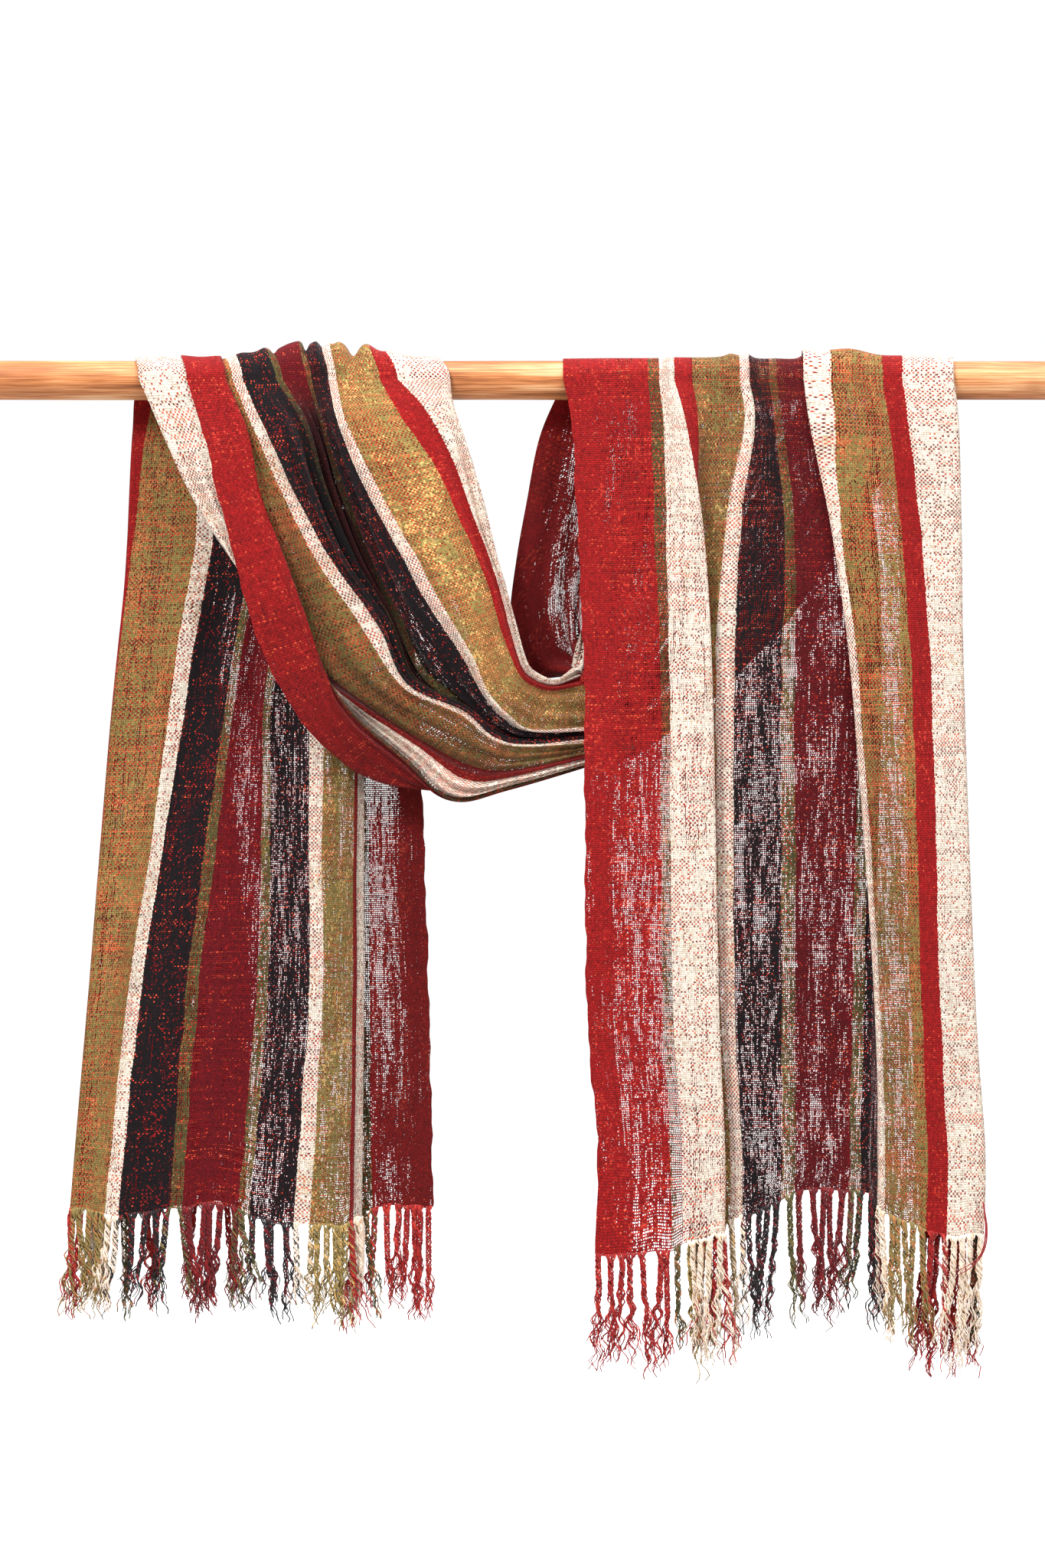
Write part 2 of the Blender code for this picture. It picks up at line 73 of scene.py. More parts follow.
# One row for each stripe, from one selvedge to the other. start: distance across the flat cloth.
# yarn: its warp. fleck: the colour of its slubs. flecks, dots: how many slubs and how much of the
# weft shows. open: how loose the weave is. threads: yarns in a tassel below it.
stripe = namedtuple("stripe", "start yarn fleck flecks dots open threads")
stripes = [stripe(*row) for row in (
    (0, "brick", "ember", 0.34, 0.20, 0.22, 14),
    (24, "brick", "ember", 0.34, 0.20, 0.50, 14),
    (64, "moss", "rust", 0.40, 0.65, 0.62, 11),
    (76, "cream", "butter", 0.25, 0.62, 0.22, 14),
    (120, "brick", "ember", 0.34, 0.15, 0.04, 14),
    (139, "olive", "straw", 0.52, 0.85, 0.44, 12),
    (189, "cream", "butter", 0.40, 0.95, 0.26, 12),
    (203, "plum", "wine", 0.20, 0.14, 0.64, 12),
    (243, "moss", "olive", 0.50, 0.50, 0.74, 12),
    (254, "oxblood", "brick", 0.28, 0.20, 0.54, 16),
    (306, "moss", "olive", 0.50, 0.45, 0.72, 12),
    (317, "plum", "brick", 0.18, 0.38, 0.36, 12),
    (357, "cream", "butter", 0.40, 0.85, 0.12, 14),
    (371, "olive", "rust", 0.60, 0.85, 0.52, 12),
    (421, "brick", "ember", 0.36, 0.15, 0.04, 14),
    (440, "cream", "butter", 0.25, 0.62, 0.16, 14),
    (484, "moss", "rust", 0.45, 0.60, 0.50, 11),
    (496, "brick", "ember", 0.34, 0.20, 0.26, 14),
)]

weave = {
    "warpPitch": 1.75,
    "weftPitch": 1.7,
    "sway": 5.0,            # how far the stripes wander from side to side
    "ragged": 2.4,          # how far their edges do
    "zigzag": 0.8,          # how far a warp steps aside between its wefts
    "weftSway": 9.0,
    "runs": (0.5, 0.32, 0.18),      # holes follow narrow runs, wide runs and chance
    "patches": 0.5,         # how much the looseness differs from patch to patch
    "openAbove": (0.67, 0.30),      # the second is for each unit of looseness
    "openRange": (-0.10, 0.15),
    "shut": 1.15,           # half width of a thread that has no hole beside it
    "warpOpen": (0.62, 0.3),        # what a hole takes off it, and what chance adds to that
    "weftOpen": (0.2, 1.05),
    "slubAbove": (0.74, 0.32),      # the second is for each unit of flecks
    "slubPatches": 0.5,
    "slubRange": (-0.03, 0.12),
    "weft": (
        (0.36, (96, 12, 22)), (0.46, yarnColours["oxblood"]), (0.56, yarnColours["brick"]),
        (0.68, (226, 84, 52)),
    ),
    "dotRadius": 0.8,
    "dotsBy": (0.75, 0.7, 0.16),    # how often they show by row, by patch and anywhere
    "dotRows": (0.42, 0.64),
    "dotPatches": (0.40, 0.66),
    "dotGlow": 0.07,        # how much brighter a dot's yarn is
    "shades": (0.62, 0.38),         # shares of single threads and of bands in the shading
    "shadeRange": (0.45, 0.95),     # the least, and what the noise adds
    "knotRange": (0.84, 0.5),       # the same for single crossings
    "joints": (0.5, 0.6),   # shade between warps, and between wefts
    "under": 0.45,          # how much lower a thread lies where it passes under the other
    "nubs": 1.6,
    "ridges": 1.1,
    "relief": 0.5,
    "bump": 0.8,
    "shader": {
        "Roughness": 0.8,
        "Sheen Weight": 0.06,
        "Sheen Roughness": 0.5,
        "Specular IOR Level": 0.15,
    },
}


# Shader nodes

def plug(tree, value, socket):
    # Links a node's output to the socket, or sets a plain value on it.
    if isinstance(value, bpy.types.NodeSocket):
        tree.links.new(value, socket)
    else:
        socket.default_value = value


def addNode(tree, kind, inputs=None, **settings):
    # inputs: values and links for its sockets. settings: the node's own properties.
    node = tree.nodes.new(kind)
    for name, value in settings.items():
        setattr(node, name, value)
    for name, value in (inputs or {}).items():
        plug(tree, value, node.inputs[name])
    return node


def calc(tree, operation, *values):
    node = addNode(tree, "ShaderNodeMath", operation=operation)
    for value, socket in zip(values, node.inputs):
        plug(tree, value, socket)
    return node.outputs[0]


def mathNodes(tree):
    # add, minus, times and larger for one tree. Each takes two values or more, in turn.
    def chained(operation):
        return lambda *values: reduce(lambda a, b: calc(tree, operation, a, b), values)
    return [chained(operation) for operation in ("ADD", "SUBTRACT", "MULTIPLY", "MAXIMUM")]


def stepBetween(tree, value, low, high):
    # 0 below low, 1 above high and smooth between them.
    node = addNode(tree, "ShaderNodeMapRange", interpolation_type="SMOOTHSTEP")
    for name, given in (("Value", value), ("From Min", low), ("From Max", high)):
        plug(tree, given, node.inputs[name])
    return node.outputs["Result"]


def blendColour(tree, share, first, second, kind="MIX"):
    node = addNode(tree, "ShaderNodeMix", data_type="RGBA", blend_type=kind)
    colours = [socket for socket in node.inputs if socket.type == "RGBA"]
    plug(tree, share, node.inputs["Factor"])
    plug(tree, first, colours[0])
    plug(tree, second, colours[1])
    return [socket for socket in node.outputs if socket.type == "RGBA"][0]


def mottle(tree, x, xScale, y, yScale, shift, detail=2.0):
    # Noise over two scaled values. shift picks another part of the noise.
    x, y = calc(tree, "MULTIPLY", x, xScale), calc(tree, "MULTIPLY", y, yScale)
    place = addNode(tree, "ShaderNodeCombineXYZ", {"X": x, "Y": y, "Z": shift})
    noise = addNode(tree, "ShaderNodeTexNoise", {"Scale": 1.0, "Detail": detail})
    tree.links.new(place.outputs[0], noise.inputs["Vector"])
    return noise.outputs["Fac"]


def chances(tree, x, y):
    # Four chances from 0 to 1 for each pair of whole numbers.
    place = addNode(tree, "ShaderNodeCombineXYZ", {"X": x, "Y": y})
    noise = addNode(tree, "ShaderNodeTexWhiteNoise", noise_dimensions="2D")
    tree.links.new(place.outputs[0], noise.inputs["Vector"])
    parts = addNode(tree, "ShaderNodeSeparateColor", {0: noise.outputs["Color"]})
    return noise.outputs["Value"], *parts.outputs


def rampOf(tree, value, stops, interpolation="LINEAR"):
    # stops: each a place from 0 to 1 and its four values.
    ramp = addNode(tree, "ShaderNodeValToRGB", {"Fac": value})
    ramp.color_ramp.interpolation = interpolation
    steps = ramp.color_ramp.elements
    for step, (place, values) in zip(steps, (stops[0], stops[-1])):
        step.position, step.color = place, values
    for place, values in stops[1:-1]:
        steps.new(place).color = values
    return ramp.outputs["Color"]


def colourRamp(tree, value, stops):
    return rampOf(tree, value, [(place, linearColour(*colour)) for place, colour in stops])


def shaded(tree, colour, tone):
    grey = addNode(tree, "ShaderNodeCombineColor", {"Red": tone, "Green": tone, "Blue": tone})
    return blendColour(tree, 1.0, colour, grey.outputs[0], "MULTIPLY")


def clothPlace(tree):
    # X and Y on the flat cloth, from the piece's UV map, in metres.
    cloth = addNode(tree, "ShaderNodeUVMap", uv_map="cloth").outputs["UV"]
    return cloth, addNode(tree, "ShaderNodeSeparateXYZ", {0: cloth})


def newGroup(name, inputs, outputs):
    group = bpy.data.node_groups.new(name, "ShaderNodeTree")
    for direction, sockets in (("INPUT", inputs), ("OUTPUT", outputs)):
        for title, kind in sockets:
            group.interface.new_socket(title, in_out=direction, socket_type="NodeSocket" + kind)
    return group, addNode(group, "NodeGroupInput"), addNode(group, "NodeGroupOutput")


def makeStripeGroup():
    # What each stripe is made of, read at a distance across the cloth, with hard steps between.
    group, start, end = newGroup(
        "stripeYarns", [("Across", "Float")],
        [("Yarn", "Color"), ("Fleck", "Color"), ("Amounts", "Color")],
    )
    share = calc(group, "DIVIDE", start.outputs["Across"], clothWidth)
    starts = [row.start / clothWidth for row in stripes]
    for title, values in (
        ("Yarn", [linearColour(*yarnColours[row.yarn]) for row in stripes]),
        ("Fleck", [linearColour(*yarnColours[row.fleck]) for row in stripes]),
        ("Amounts", [(row.flecks, row.dots, row.open, 1.0) for row in stripes]),
    ):
        ramp = rampOf(group, share, list(zip(starts, values)), "CONSTANT")
        plug(group, ramp, end.inputs[title])
    return group


def makeWeaveGroup(stripeGroup):
    # Plain weave of slubby yarns. Cloth is the place on the flat cloth in metres, Looseness
    # scales how far the stripes' threads stand apart and Dots how often the weft shows on top.
    # Cover is 0 in the holes between threads. Its tone input multiplies the colour: painted shade
    # and painted highlight on parts of some pieces, and darker stripes on others.
    group, start, end = newGroup(
        "silkWeave",
        [("Cloth", "Vector"), ("Looseness", "Float"), ("ToneAndPaintedShade", "Float"), ("Dots", "Float")],
        [("Color", "Color"), ("Relief", "Float"), ("Cover", "Float")],
    )
    add, minus, times, larger = mathNodes(group)
    flat = addNode(group, "ShaderNodeSeparateXYZ", {0: start.outputs["Cloth"]})
    across, along = times(flat.outputs["X"], 1 / mm), times(flat.outputs["Y"], 1 / mm)
    stretched = partial(mottle, group)

    def waves(acrossScale, alongScale, shift, detail, height):
        # Noise over the cloth, as much above 0 as below it.
        noise = stretched(across, acrossScale, along, alongScale, shift, detail)
        return times(minus(noise, 0.5), height)

    # The stripes wander a little, and their edges are ragged.
    warpPlace = add(across, waves(0.02, 0.02, 1.0, 2.0, weave["sway"]))
    warpPlace = add(warpPlace, waves(0.2, 0.35, 2.0, 2.0, weave["ragged"]))
    zigzag = calc(group, "PINGPONG", times(along, 0.5 / weave["weftPitch"]), 0.5)
    warpPlace = add(warpPlace, times(minus(zigzag, 0.25), weave["zigzag"]))
    stripeNode = addNode(group, "ShaderNodeGroup", node_tree=stripeGroup)
    plug(group, warpPlace, stripeNode.inputs["Across"])
    amounts = addNode(group, "ShaderNodeSeparateColor", {0: stripeNode.outputs["Amounts"]})
    flecks, dots, loose = amounts.outputs

    # Numbers of the threads and of the hole between them, and how far a point lies from the
    # middle of its two threads: 0 in the middle, 1 at the edge.
    warpAt = calc(group, "DIVIDE", warpPlace, weave["warpPitch"])
    weftPlace = add(along, waves(0.012, 0.012, 3.0, 2.0, weave["weftSway"]))
    weftAt = calc(group, "DIVIDE", weftPlace, weave["weftPitch"])
    warpNumber, weftNumber = (calc(group, "FLOOR", at) for at in (warpAt, weftAt))
    holeWarp, holeWeft = (calc(group, "FLOOR", add(at, 0.5)) for at in (warpAt, weftAt))
    offWarp, offWeft = (
        times(calc(group, "ABSOLUTE", minus(calc(group, "FRACT", at), 0.5)), 2.0)
        for at in (warpAt, weftAt)
    )
    weftOver = calc(group, "MODULO", add(warpNumber, weftNumber), 2.0)
    weftOver = calc(group, "ABSOLUTE", weftOver)

    # Every hole has a size of its own. Loose warps make runs of holes that are long up the cloth
    # and one to three threads wide, in patches.
    holeUp = times(holeWeft, weave["weftPitch"])
    _, holeChance, warpChance, _ = chances(group, holeWarp, holeWeft)
    runs = add(
        times(stretched(holeWarp, 1.31, holeUp, 0.03, 4.0, 1.0), weave["runs"][0]),
        times(stretched(holeWarp, 0.21, holeUp, 0.017, 4.5, 1.0), weave["runs"][1]),
        times(holeChance, weave["runs"][2]),
    )
    looseness = times(loose, start.outputs["Looseness"])
    looseness = add(looseness, waves(0.018, 0.011, 5.0, 1.0, weave["patches"]))
    bar = minus(weave["openAbove"][0], times(looseness, weave["openAbove"][1]))
    gap = stepBetween(group, minus(runs, bar), *weave["openRange"])

    # Half widths of the threads: more than 1 closes the gap to the next one.
    weftSwell = stretched(holeWeft, 0.61, holeWarp, 0.08, 6.0, 1.0)

    def onThread(off, chance, least, more):
        opened = times(gap, add(least, times(chance, more)))
        return calc(group, "LESS_THAN", off, minus(weave["shut"], opened))

    onWarp = onThread(offWarp, warpChance, *weave["warpOpen"])
    onWeft = onThread(offWeft, weftSwell, *weave["weftOpen"])

    # Warp colour: the stripe's yarn, with slubs of its second colour along single threads.
    slub = stretched(warpNumber, 1.37, along, 0.33, 8.0)
    bar = minus(weave["slubAbove"][0], times(flecks, weave["slubAbove"][1]))
    bar = minus(bar, waves(0.05, 0.035, 8.5, 1.0, weave["slubPatches"]))
    slubHere = stepBetween(group, minus(slub, bar), *weave["slubRange"])
    yarn, second = stripeNode.outputs["Yarn"], stripeNode.outputs["Fleck"]
    warpColour = blendColour(group, slubHere, yarn, second)

    # The weft shows as a dot where it passes over a warp, more often in some rows and patches.
    dotChance, _, knotChance, _ = chances(group, warpNumber, weftNumber)
    rows = stretched(weftNumber, 0.31, across, 0.014, 10.0)
    rows = stepBetween(group, rows, *weave["dotRows"])
    patches = stretched(across, 0.06, along, 0.02, 10.5)
    patches = stepBetween(group, patches, *weave["dotPatches"])
    byRow, byPatch, anywhere = weave["dotsBy"]
    often = add(times(rows, byRow), times(patches, byPatch), anywhere)
    often = times(dots, often, start.outputs["Dots"])
    off = add(calc(group, "POWER", offWarp, 2.0), calc(group, "POWER", offWeft, 2.0))
    inDot = calc(group, "LESS_THAN", off, weave["dotRadius"] ** 2)
    dot = times(calc(group, "LESS_THAN", dotChance, often), weftOver, inDot)

    # Weft colour: dark red for the most part, now and then brick or orange.
    weftTone = stretched(weftNumber, 0.83, across, 0.012, 9.0)
    weftColour = colourRamp(group, add(weftTone, times(dot, weave["dotGlow"])), weave["weft"])
    weftShows = larger(dot, minus(1.0, onWarp))
    colour = blendColour(group, weftShows, warpColour, weftColour)

    # Lighter and darker threads, and shade in the joints between them.
    threads = stretched(warpNumber, 0.9, weftNumber, 0.13, 11.0)
    bands = stretched(across, 0.01, weftNumber, 0.37, 12.0)
    tone = add(times(threads, weave["shades"][0]), times(bands, weave["shades"][1]))
    tone = add(weave["shadeRange"][0], times(tone, weave["shadeRange"][1]))
    tone = times(tone, add(weave["knotRange"][0], times(knotChance, weave["knotRange"][1])))
    warpJoint, weftJoint = (
        times(calc(group, "POWER", off, 3.0), shade)
        for off, shade in zip((offWarp, offWeft), weave["joints"])
    )
    tone = times(tone, minus(1.0, larger(times(warpJoint, onWarp), weftJoint)))
    # The tone input darkens or lightens the colour here: painted shade and painted highlight where
    # a piece gives them.
    colour = shaded(group, colour, times(tone, start.outputs["ToneAndPaintedShade"]))

    # Rounded threads that pass over each other, and slubs.
    warpRound, weftRound = (
        minus(1.0, calc(group, "POWER", off, 2.0)) for off in (offWarp, offWeft)
    )
    lower = minus(1.0, times(weftOver, weave["under"]))
    raised = add(1 - weave["under"], times(weftOver, weave["under"]))
    relief = larger(times(warpRound, lower), times(weftRound, raised))
    nubs = times(stretched(across, 0.35, along, 0.22, 13.0, 3.0), weave["nubs"])
    ridges = stretched(across, 0.05, weftNumber, 0.9, 14.0, 1.0)
    relief = add(relief, add(nubs, times(ridges, weave["ridges"])))

    cover = larger(onWarp, onWeft)
    for title, value in (("Color", colour), ("Relief", relief), ("Cover", cover)):
        plug(group, value, end.inputs[title])
    return group


stripeGroup = makeStripeGroup()
weaveGroup = makeWeaveGroup(stripeGroup)
print("shader groups made")


def newMaterial(name, inputs):
    material = bpy.data.materials.new(name)
    material.use_nodes = True
    tree = material.node_tree
    shader = tree.nodes["Principled BSDF"]
    for title, value in inputs.items():
        shader.inputs[title].default_value = value
    return material, tree, shader


def addSurface(tree, shader, colour, height, look):
    # Colour, and bump that is look["relief"] millimetres deep where height goes from 0 to 1.
    bump = addNode(tree, "ShaderNodeBump", {
        "Height": height, "Distance": look["relief"] * mm, "Strength": look["bump"],
    })
    plug(tree, colour, shader.inputs["Base Color"])
    plug(tree, bump.outputs["Normal"], shader.inputs["Normal"])


def addPlaced(tree, value, amounts, flat):
    # Adds each amount where it holds: between the first and last of four places across the cloth
    # and of four along it, in full between the middle ones.
    add, _, times, _ = mathNodes(tree)
    for amount, *sides in amounts:
        for socket, places in zip(flat.outputs, sides):
            come, stay, leave, gone = (float(place) * mm for place in places)
            amount = times(amount, stepBetween(tree, socket, come, stay))
            amount = times(amount, stepBetween(tree, socket, gone, leave))
        value = add(value, amount)
    return value


def silkMaterial(name, looseness, dots, looser, paintedShadeAndTone):
    # looser, and the amounts that make the colour darker or paler: amounts with their places, as
    # addPlaced takes them. The colour amounts are painted shade and painted highlight on parts of
    # some pieces, and darker stripes elsewhere.
    material, tree, shader = newMaterial(name, weave["shader"])
    cloth, flat = clothPlace(tree)
    threads = addNode(tree, "ShaderNodeGroup", node_tree=weaveGroup)
    plug(tree, cloth, threads.inputs["Cloth"])
    plug(tree, dots, threads.inputs["Dots"])
    plug(tree, addPlaced(tree, looseness, looser, flat), threads.inputs["Looseness"])
    # Painted shade and painted highlight where the piece gives them, and the darker tone of some
    # stripes.
    plug(tree, addPlaced(tree, 1.0, paintedShadeAndTone, flat), threads.inputs["ToneAndPaintedShade"])
    addSurface(tree, shader, threads.outputs["Color"], threads.outputs["Relief"], weave)
    plug(tree, threads.outputs["Cover"], shader.inputs["Alpha"])
    return material


yarnLook = {
    "shader": {"Roughness": 0.75, "Sheen Weight": 0.2, "Specular IOR Level": 0.3},
    "fleckRange": (0.52, 0.62),
    "toneRange": (0.55, 0.9),       # the least, and what the twist adds
    "relief": 0.3,
    "bump": 0.6,
}


def fringeMaterial():
    # The yarn of the stripe above, with now and then a stretch of its second colour.
    material, tree, shader = newMaterial("fringeYarn", yarnLook["shader"])
    add, _, times, _ = mathNodes(tree)
    _, flat = clothPlace(tree)
    across, along = times(flat.outputs["X"], 1 / mm), times(flat.outputs["Y"], 1 / mm)
    yarns = addNode(tree, "ShaderNodeGroup", node_tree=stripeGroup)
    plug(tree, across, yarns.inputs["Across"])
    spot = mottle(tree, across, 1.9, along, 0.09, 3.0)
    share = stepBetween(tree, spot, *yarnLook["fleckRange"])
    colour = blendColour(tree, share, yarns.outputs["Yarn"], yarns.outputs["Fleck"])
    twist = mottle(tree, across, 2.3, along, 0.6, 6.0)
    least, more = yarnLook["toneRange"]
    colour = shaded(tree, colour, add(least, times(twist, more)))
    addSurface(tree, shader, colour, twist, yarnLook)
    return material


# Surfaces

finish = {
    "columnPitch": 2.2,
    "sectionPitch": 4.6,
    "standOff": 1.5,        # between the pole and the plane in which a tail hangs
    "nearest": 1.3,         # how near to the pole the bumps may press the cloth
    "below": 12,            # how far below the pole's axis the creases and puckers begin
    "growing": 40,          # and over how far they grow to their full height
    "selvedge": 5,          # how wide the edges are that wobble
    "hemFrom": 640,         # how far below the pole's axis the hem grows uneven
    "hemWaves": ((1.3, 11, 0), (0.8, 4.7, 0)),
    "pleatsBelow": 18,
    "pleatsGrowing": 50,
    "pleatSway": ((0.8, 47, 0), (0.5, 23, 1)),
    "tightest": 0.12,       # least share of the cloth's width that the pleats reckon with
}


def dividedSpans(counts):
    # The span that each part lies in, and the share of the span that lies before the part.
    counts = np.array(counts)
    spans = np.repeat(np.arange(len(counts)), counts)
    return spans, (np.arange(counts.sum()) - (np.cumsum(counts) - counts)[spans]) / counts[spans]


def curveThrough(lines, counts):
    # Smooth (Catmull-Rom) curve through the points of each line, with counts[i] parts in span i.
    first = 2 * lines[:, :1] - lines[:, 1:2]
    last = 2 * lines[:, -1:] - lines[:, -2:-1]
    padded = np.concatenate([first, lines, last], axis=1)
    spans, parts = dividedSpans(counts)
    spans = np.append(spans, len(counts) - 1)
    t = np.append(parts, 1.0)[None, :, None]
    before, a, b, after = (padded[:, spans + step] for step in range(4))
    curve = 2 * a + (b - before) * t + (2 * before - 5 * a + 4 * b - after) * t ** 2
    return (curve + (3 * a - before - 3 * b + after) * t ** 3) / 2


def roundedAcross(lines, places):
    # Rounded (quadratic B-spline) surface over the fold lines, read at rows and parts of rows.
    padded = np.concatenate([2 * lines[:1] - lines[1:2], lines, 2 * lines[-1:] - lines[-2:-1]])
    row = np.rint(places).astype(int)
    w = (places - row).reshape((-1,) + (1,) * (lines.ndim - 1))
    near = 0.5 * (0.5 - w) ** 2 * padded[row] + (0.75 - w ** 2) * padded[row + 1]
    return near + 0.5 * (0.5 + w) ** 2 * padded[row + 2]


def columnsOf(folds):
    # Places of the columns among the fold lines, and over the flat cloth: about one column for
    # each pitch, and at least three in a fold.
    rows = np.array([fold.across for fold in folds], dtype=float)
    counts = np.maximum(3, np.ceil(np.abs(np.diff(rows)) / finish["columnPitch"])).astype(int)
    spans, parts = dividedSpans(counts)
    places = np.append(spans + parts, len(rows) - 1.0)
    return places, roundedAcross(rows, places)


def bell(off):
    # Bell curve: e to the power of minus off squared.
    return np.exp(-off ** 2)


def eased(share):
    # Smooth step from 0 to 1: the square of share times 3 less twice share.
    share = np.clip(share, 0, 1)
    return share * share * (3 - 2 * share)


def ripples(places, waves):
    # Sum of sines. waves: height, length for a radian and shift of each.
    return sum(height * np.sin(places / length + shift) for height, length, shift in waves)


crease = namedtuple("crease", "start end bow width rise")


def creased(grid, creases):
    # Each crease stands off the cloth by rise, as a bell curve of the distance from its bowed
    # centre line in the plane of X and Z, and it fades out towards its ends.
    flat = grid[..., [0, 2]]
    push = np.zeros(grid.shape[:2])
    for line in creases:
        start = np.array(line.start, dtype=float)
        run = np.array(line.end, dtype=float) - start
        length = np.hypot(*run)
        share = ((flat - start) @ run) / length ** 2
        off = ((flat - start) @ np.array([-run[1], run[0]])) / length
        off = off - line.bow * 4 * share * (1 - share)
        fade = np.sin(np.pi * np.clip(share, 0, 1)) ** 0.6
        push += line.rise * fade * bell(off / line.width)
    return push


def puckered(grid, height, wander):
    # Small waves of the loose weave: products of sines of X and Z, the same in every layer.
    x, z = grid[..., 0], grid[..., 2]
    bend = wander * np.sin(z / 61) + 0.6 * wander * np.sin(z / 27 + x / 90)
    waves = np.sin((x + bend) / 7.5) * np.sin(z / 34 + x / 57)
    waves += 0.7 * np.sin((x + bend) / 12.3 + 1.3) * np.sin(z / 52 + 0.8)
    waves += 0.35 * np.sin(x / 9.1 + z / 8.3) * np.sin(z / 19)
    return height * waves


def bumped(grid, bumps):
    # Over the pole each bump lifts the cloth straight out from the pole's axis, as a bell curve of
    # the distance along the pole, and it fades out as the square of the cosine from the crown.
    radius = np.hypot(grid[..., 1], grid[..., 2])
    crown = np.clip(grid[..., 2] / radius, 0, 1) ** 2
    x = grid[..., 0]
    push = sum(rise * bell((x - place) / width) for place, width, rise in bumps)
    nearest = np.minimum(radius, poleRadius + finish["nearest"])
    lifted = np.maximum(radius + push * crown, nearest)
    grid[..., 1:] *= (lifted / radius)[..., None]
    return grid


def finishSheet(grid, across, sheet):
    # Lifts the bumps over the crown. Below the pole it adds the creases and puckers towards the
    # front, and wobbles both selvedges by sines of Z.
    grid = bumped(grid.copy(), sheet["bumps"]) if sheet["bumps"] else grid.copy()
    z = grid[..., 2]
    clear = eased((-finish["below"] - z) / finish["growing"])
    push = creased(grid, sheet["creases"]) + puckered(grid, sheet["puckers"], sheet["wander"])
    grid[..., 1] -= push * clear
    edge = sum(bell(off / finish["selvedge"]) for off in (across, clothWidth - across))
    wobble = ripples(z, (
        (0.45, 6.3, np.sin(z / 31)), (0.5, 14.7, 2 * np.sin(z / 83)), (0.3, 2.9, 1),
    ))
    grid[..., 0] += edge[:, None] * clear * wobble
    return grid


def gathered(grid, across, marks, sheet):
    # Where the folds take up less cloth than there is, small pleats take up the rest: a sine
    # across the cloth whose height follows from how tightly the place is gathered.
    step = np.linalg.norm(np.gradient(grid, axis=0), axis=2)
    step = step / np.abs(np.gradient(across))[:, None]
    tight = smoothed(np.clip(step, finish["tightest"], 1), rounds=5)
    height = sheet["gatherWave"] / np.pi * np.sqrt(tight * (1 - tight))
    height = height * np.interp(across, *np.transpose(sheet["gatherShares"]))[:, None]
    sway = ripples(marks, finish["pleatSway"])
    wave = np.sin(2 * np.pi * across[:, None] / sheet["gatherWave"] + sway[None, :])
    out = np.cross(np.gradient(grid, axis=0), np.gradient(grid, axis=1))
    out = out / np.linalg.norm(out, axis=2, keepdims=True)
    clear = np.clip((-finish["pleatsBelow"] - grid[..., 2]) / finish["pleatsGrowing"], 0, 1)
    return grid + out * (smoothed(height, rounds=4) * wave * clear)[..., None]


def smoothed(values, rounds):
    # Mean with the neighbours on both sides, several times over.
    for _ in range(rounds):
        for axis in (0, 1):
            before = np.take(values, [0, *range(values.shape[axis] - 1)], axis=axis)
            after = np.take(values, [*range(1, values.shape[axis]), -1], axis=axis)
            values = (before + 2 * values + after) / 4
    return values


def areaShare(grid, along):
    # Area of the shaped cloth over the area that it was cut to.
    a, b = grid[1:, :-1] - grid[:-1, :-1], grid[:-1, 1:] - grid[:-1, :-1]
    area = np.linalg.norm(np.cross(a, b), axis=2).sum()
    return round(float(area / clothWidth / abs(along[-1] - along[0])), 3)


def cornersBut(columns, sections):
    # Numbers of the points of each column but its last one.
    return (np.arange(columns)[:, None] * sections + np.arange(sections - 1)[None, :]).ravel()


def gridFaces(columns, sections, flip):
    # The squares between neighbouring columns and sections.
    a = cornersBut(columns - 1, sections)
    faces = np.stack([a, a + sections, a + sections + 1, a + 1], axis=1)
    return faces[:, ::-1] if flip else faces


def addObject(name, data):
    thing = bpy.data.objects.new(name, data)
    bpy.context.scene.collection.objects.link(thing)
    return thing


def meshPiece(name, points, faces, material, flatPlaces=None):
    # points in millimetres; faces as arrays of corner numbers; flatPlaces is a UV for each point.
    mesh = bpy.data.meshes.new(name)
    mesh.from_pydata((points * mm).tolist(), [], [face.tolist() for part in faces for face in part])
    if flatPlaces is not None:
        layer = mesh.uv_layers.new(name="cloth")
        corners = np.empty(len(mesh.loops), dtype=np.int32)
        mesh.loops.foreach_get("vertex_index", corners)
        layer.data.foreach_set("uv", (flatPlaces[corners] * mm).astype(np.float32).ravel())
    mesh.materials.append(material)
    mesh.shade_smooth()
    piece = addObject(name, mesh)
    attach(piece, "root")
    return piece


def sectionMarks(grid):
    # Mean distance along the cloth at each section.
    steps = np.linalg.norm(np.diff(grid, axis=1), axis=2).mean(axis=0)
    return np.concatenate([[0.0], np.cumsum(steps)])


def silkPiece(name, sheet, grid, across, marks, flip, looser, paintedShadeAndTone):
    # Its UV map holds the place across the flat cloth and the marks along it.
    columns, sections = grid.shape[:2]
    flatPlaces = np.stack(np.broadcast_arrays(across[:, None], marks[None, :]), axis=-1)
    faces = gridFaces(columns, sections, flip)
    material = silkMaterial(name + "Silk", sheet["looseness"], sheet["dots"], looser, paintedShadeAndTone)
    piece = meshPiece(name, grid.reshape(-1, 3), [faces], material, flatPlaces.reshape(-1, 2))
    print(name, "made, area share", areaShare(grid, marks))
    return piece


# A tail has one row for each fold line. across: distance over the flat cloth. side, top: height
# over the pole at its side and crown. hem: how far it hangs below the pole's axis. spread: place
# along the pole at each level. depth: how far it stands off the plane that hangs from the pole.
foldLine = namedtuple("foldLine", "across side top hem spread depth")


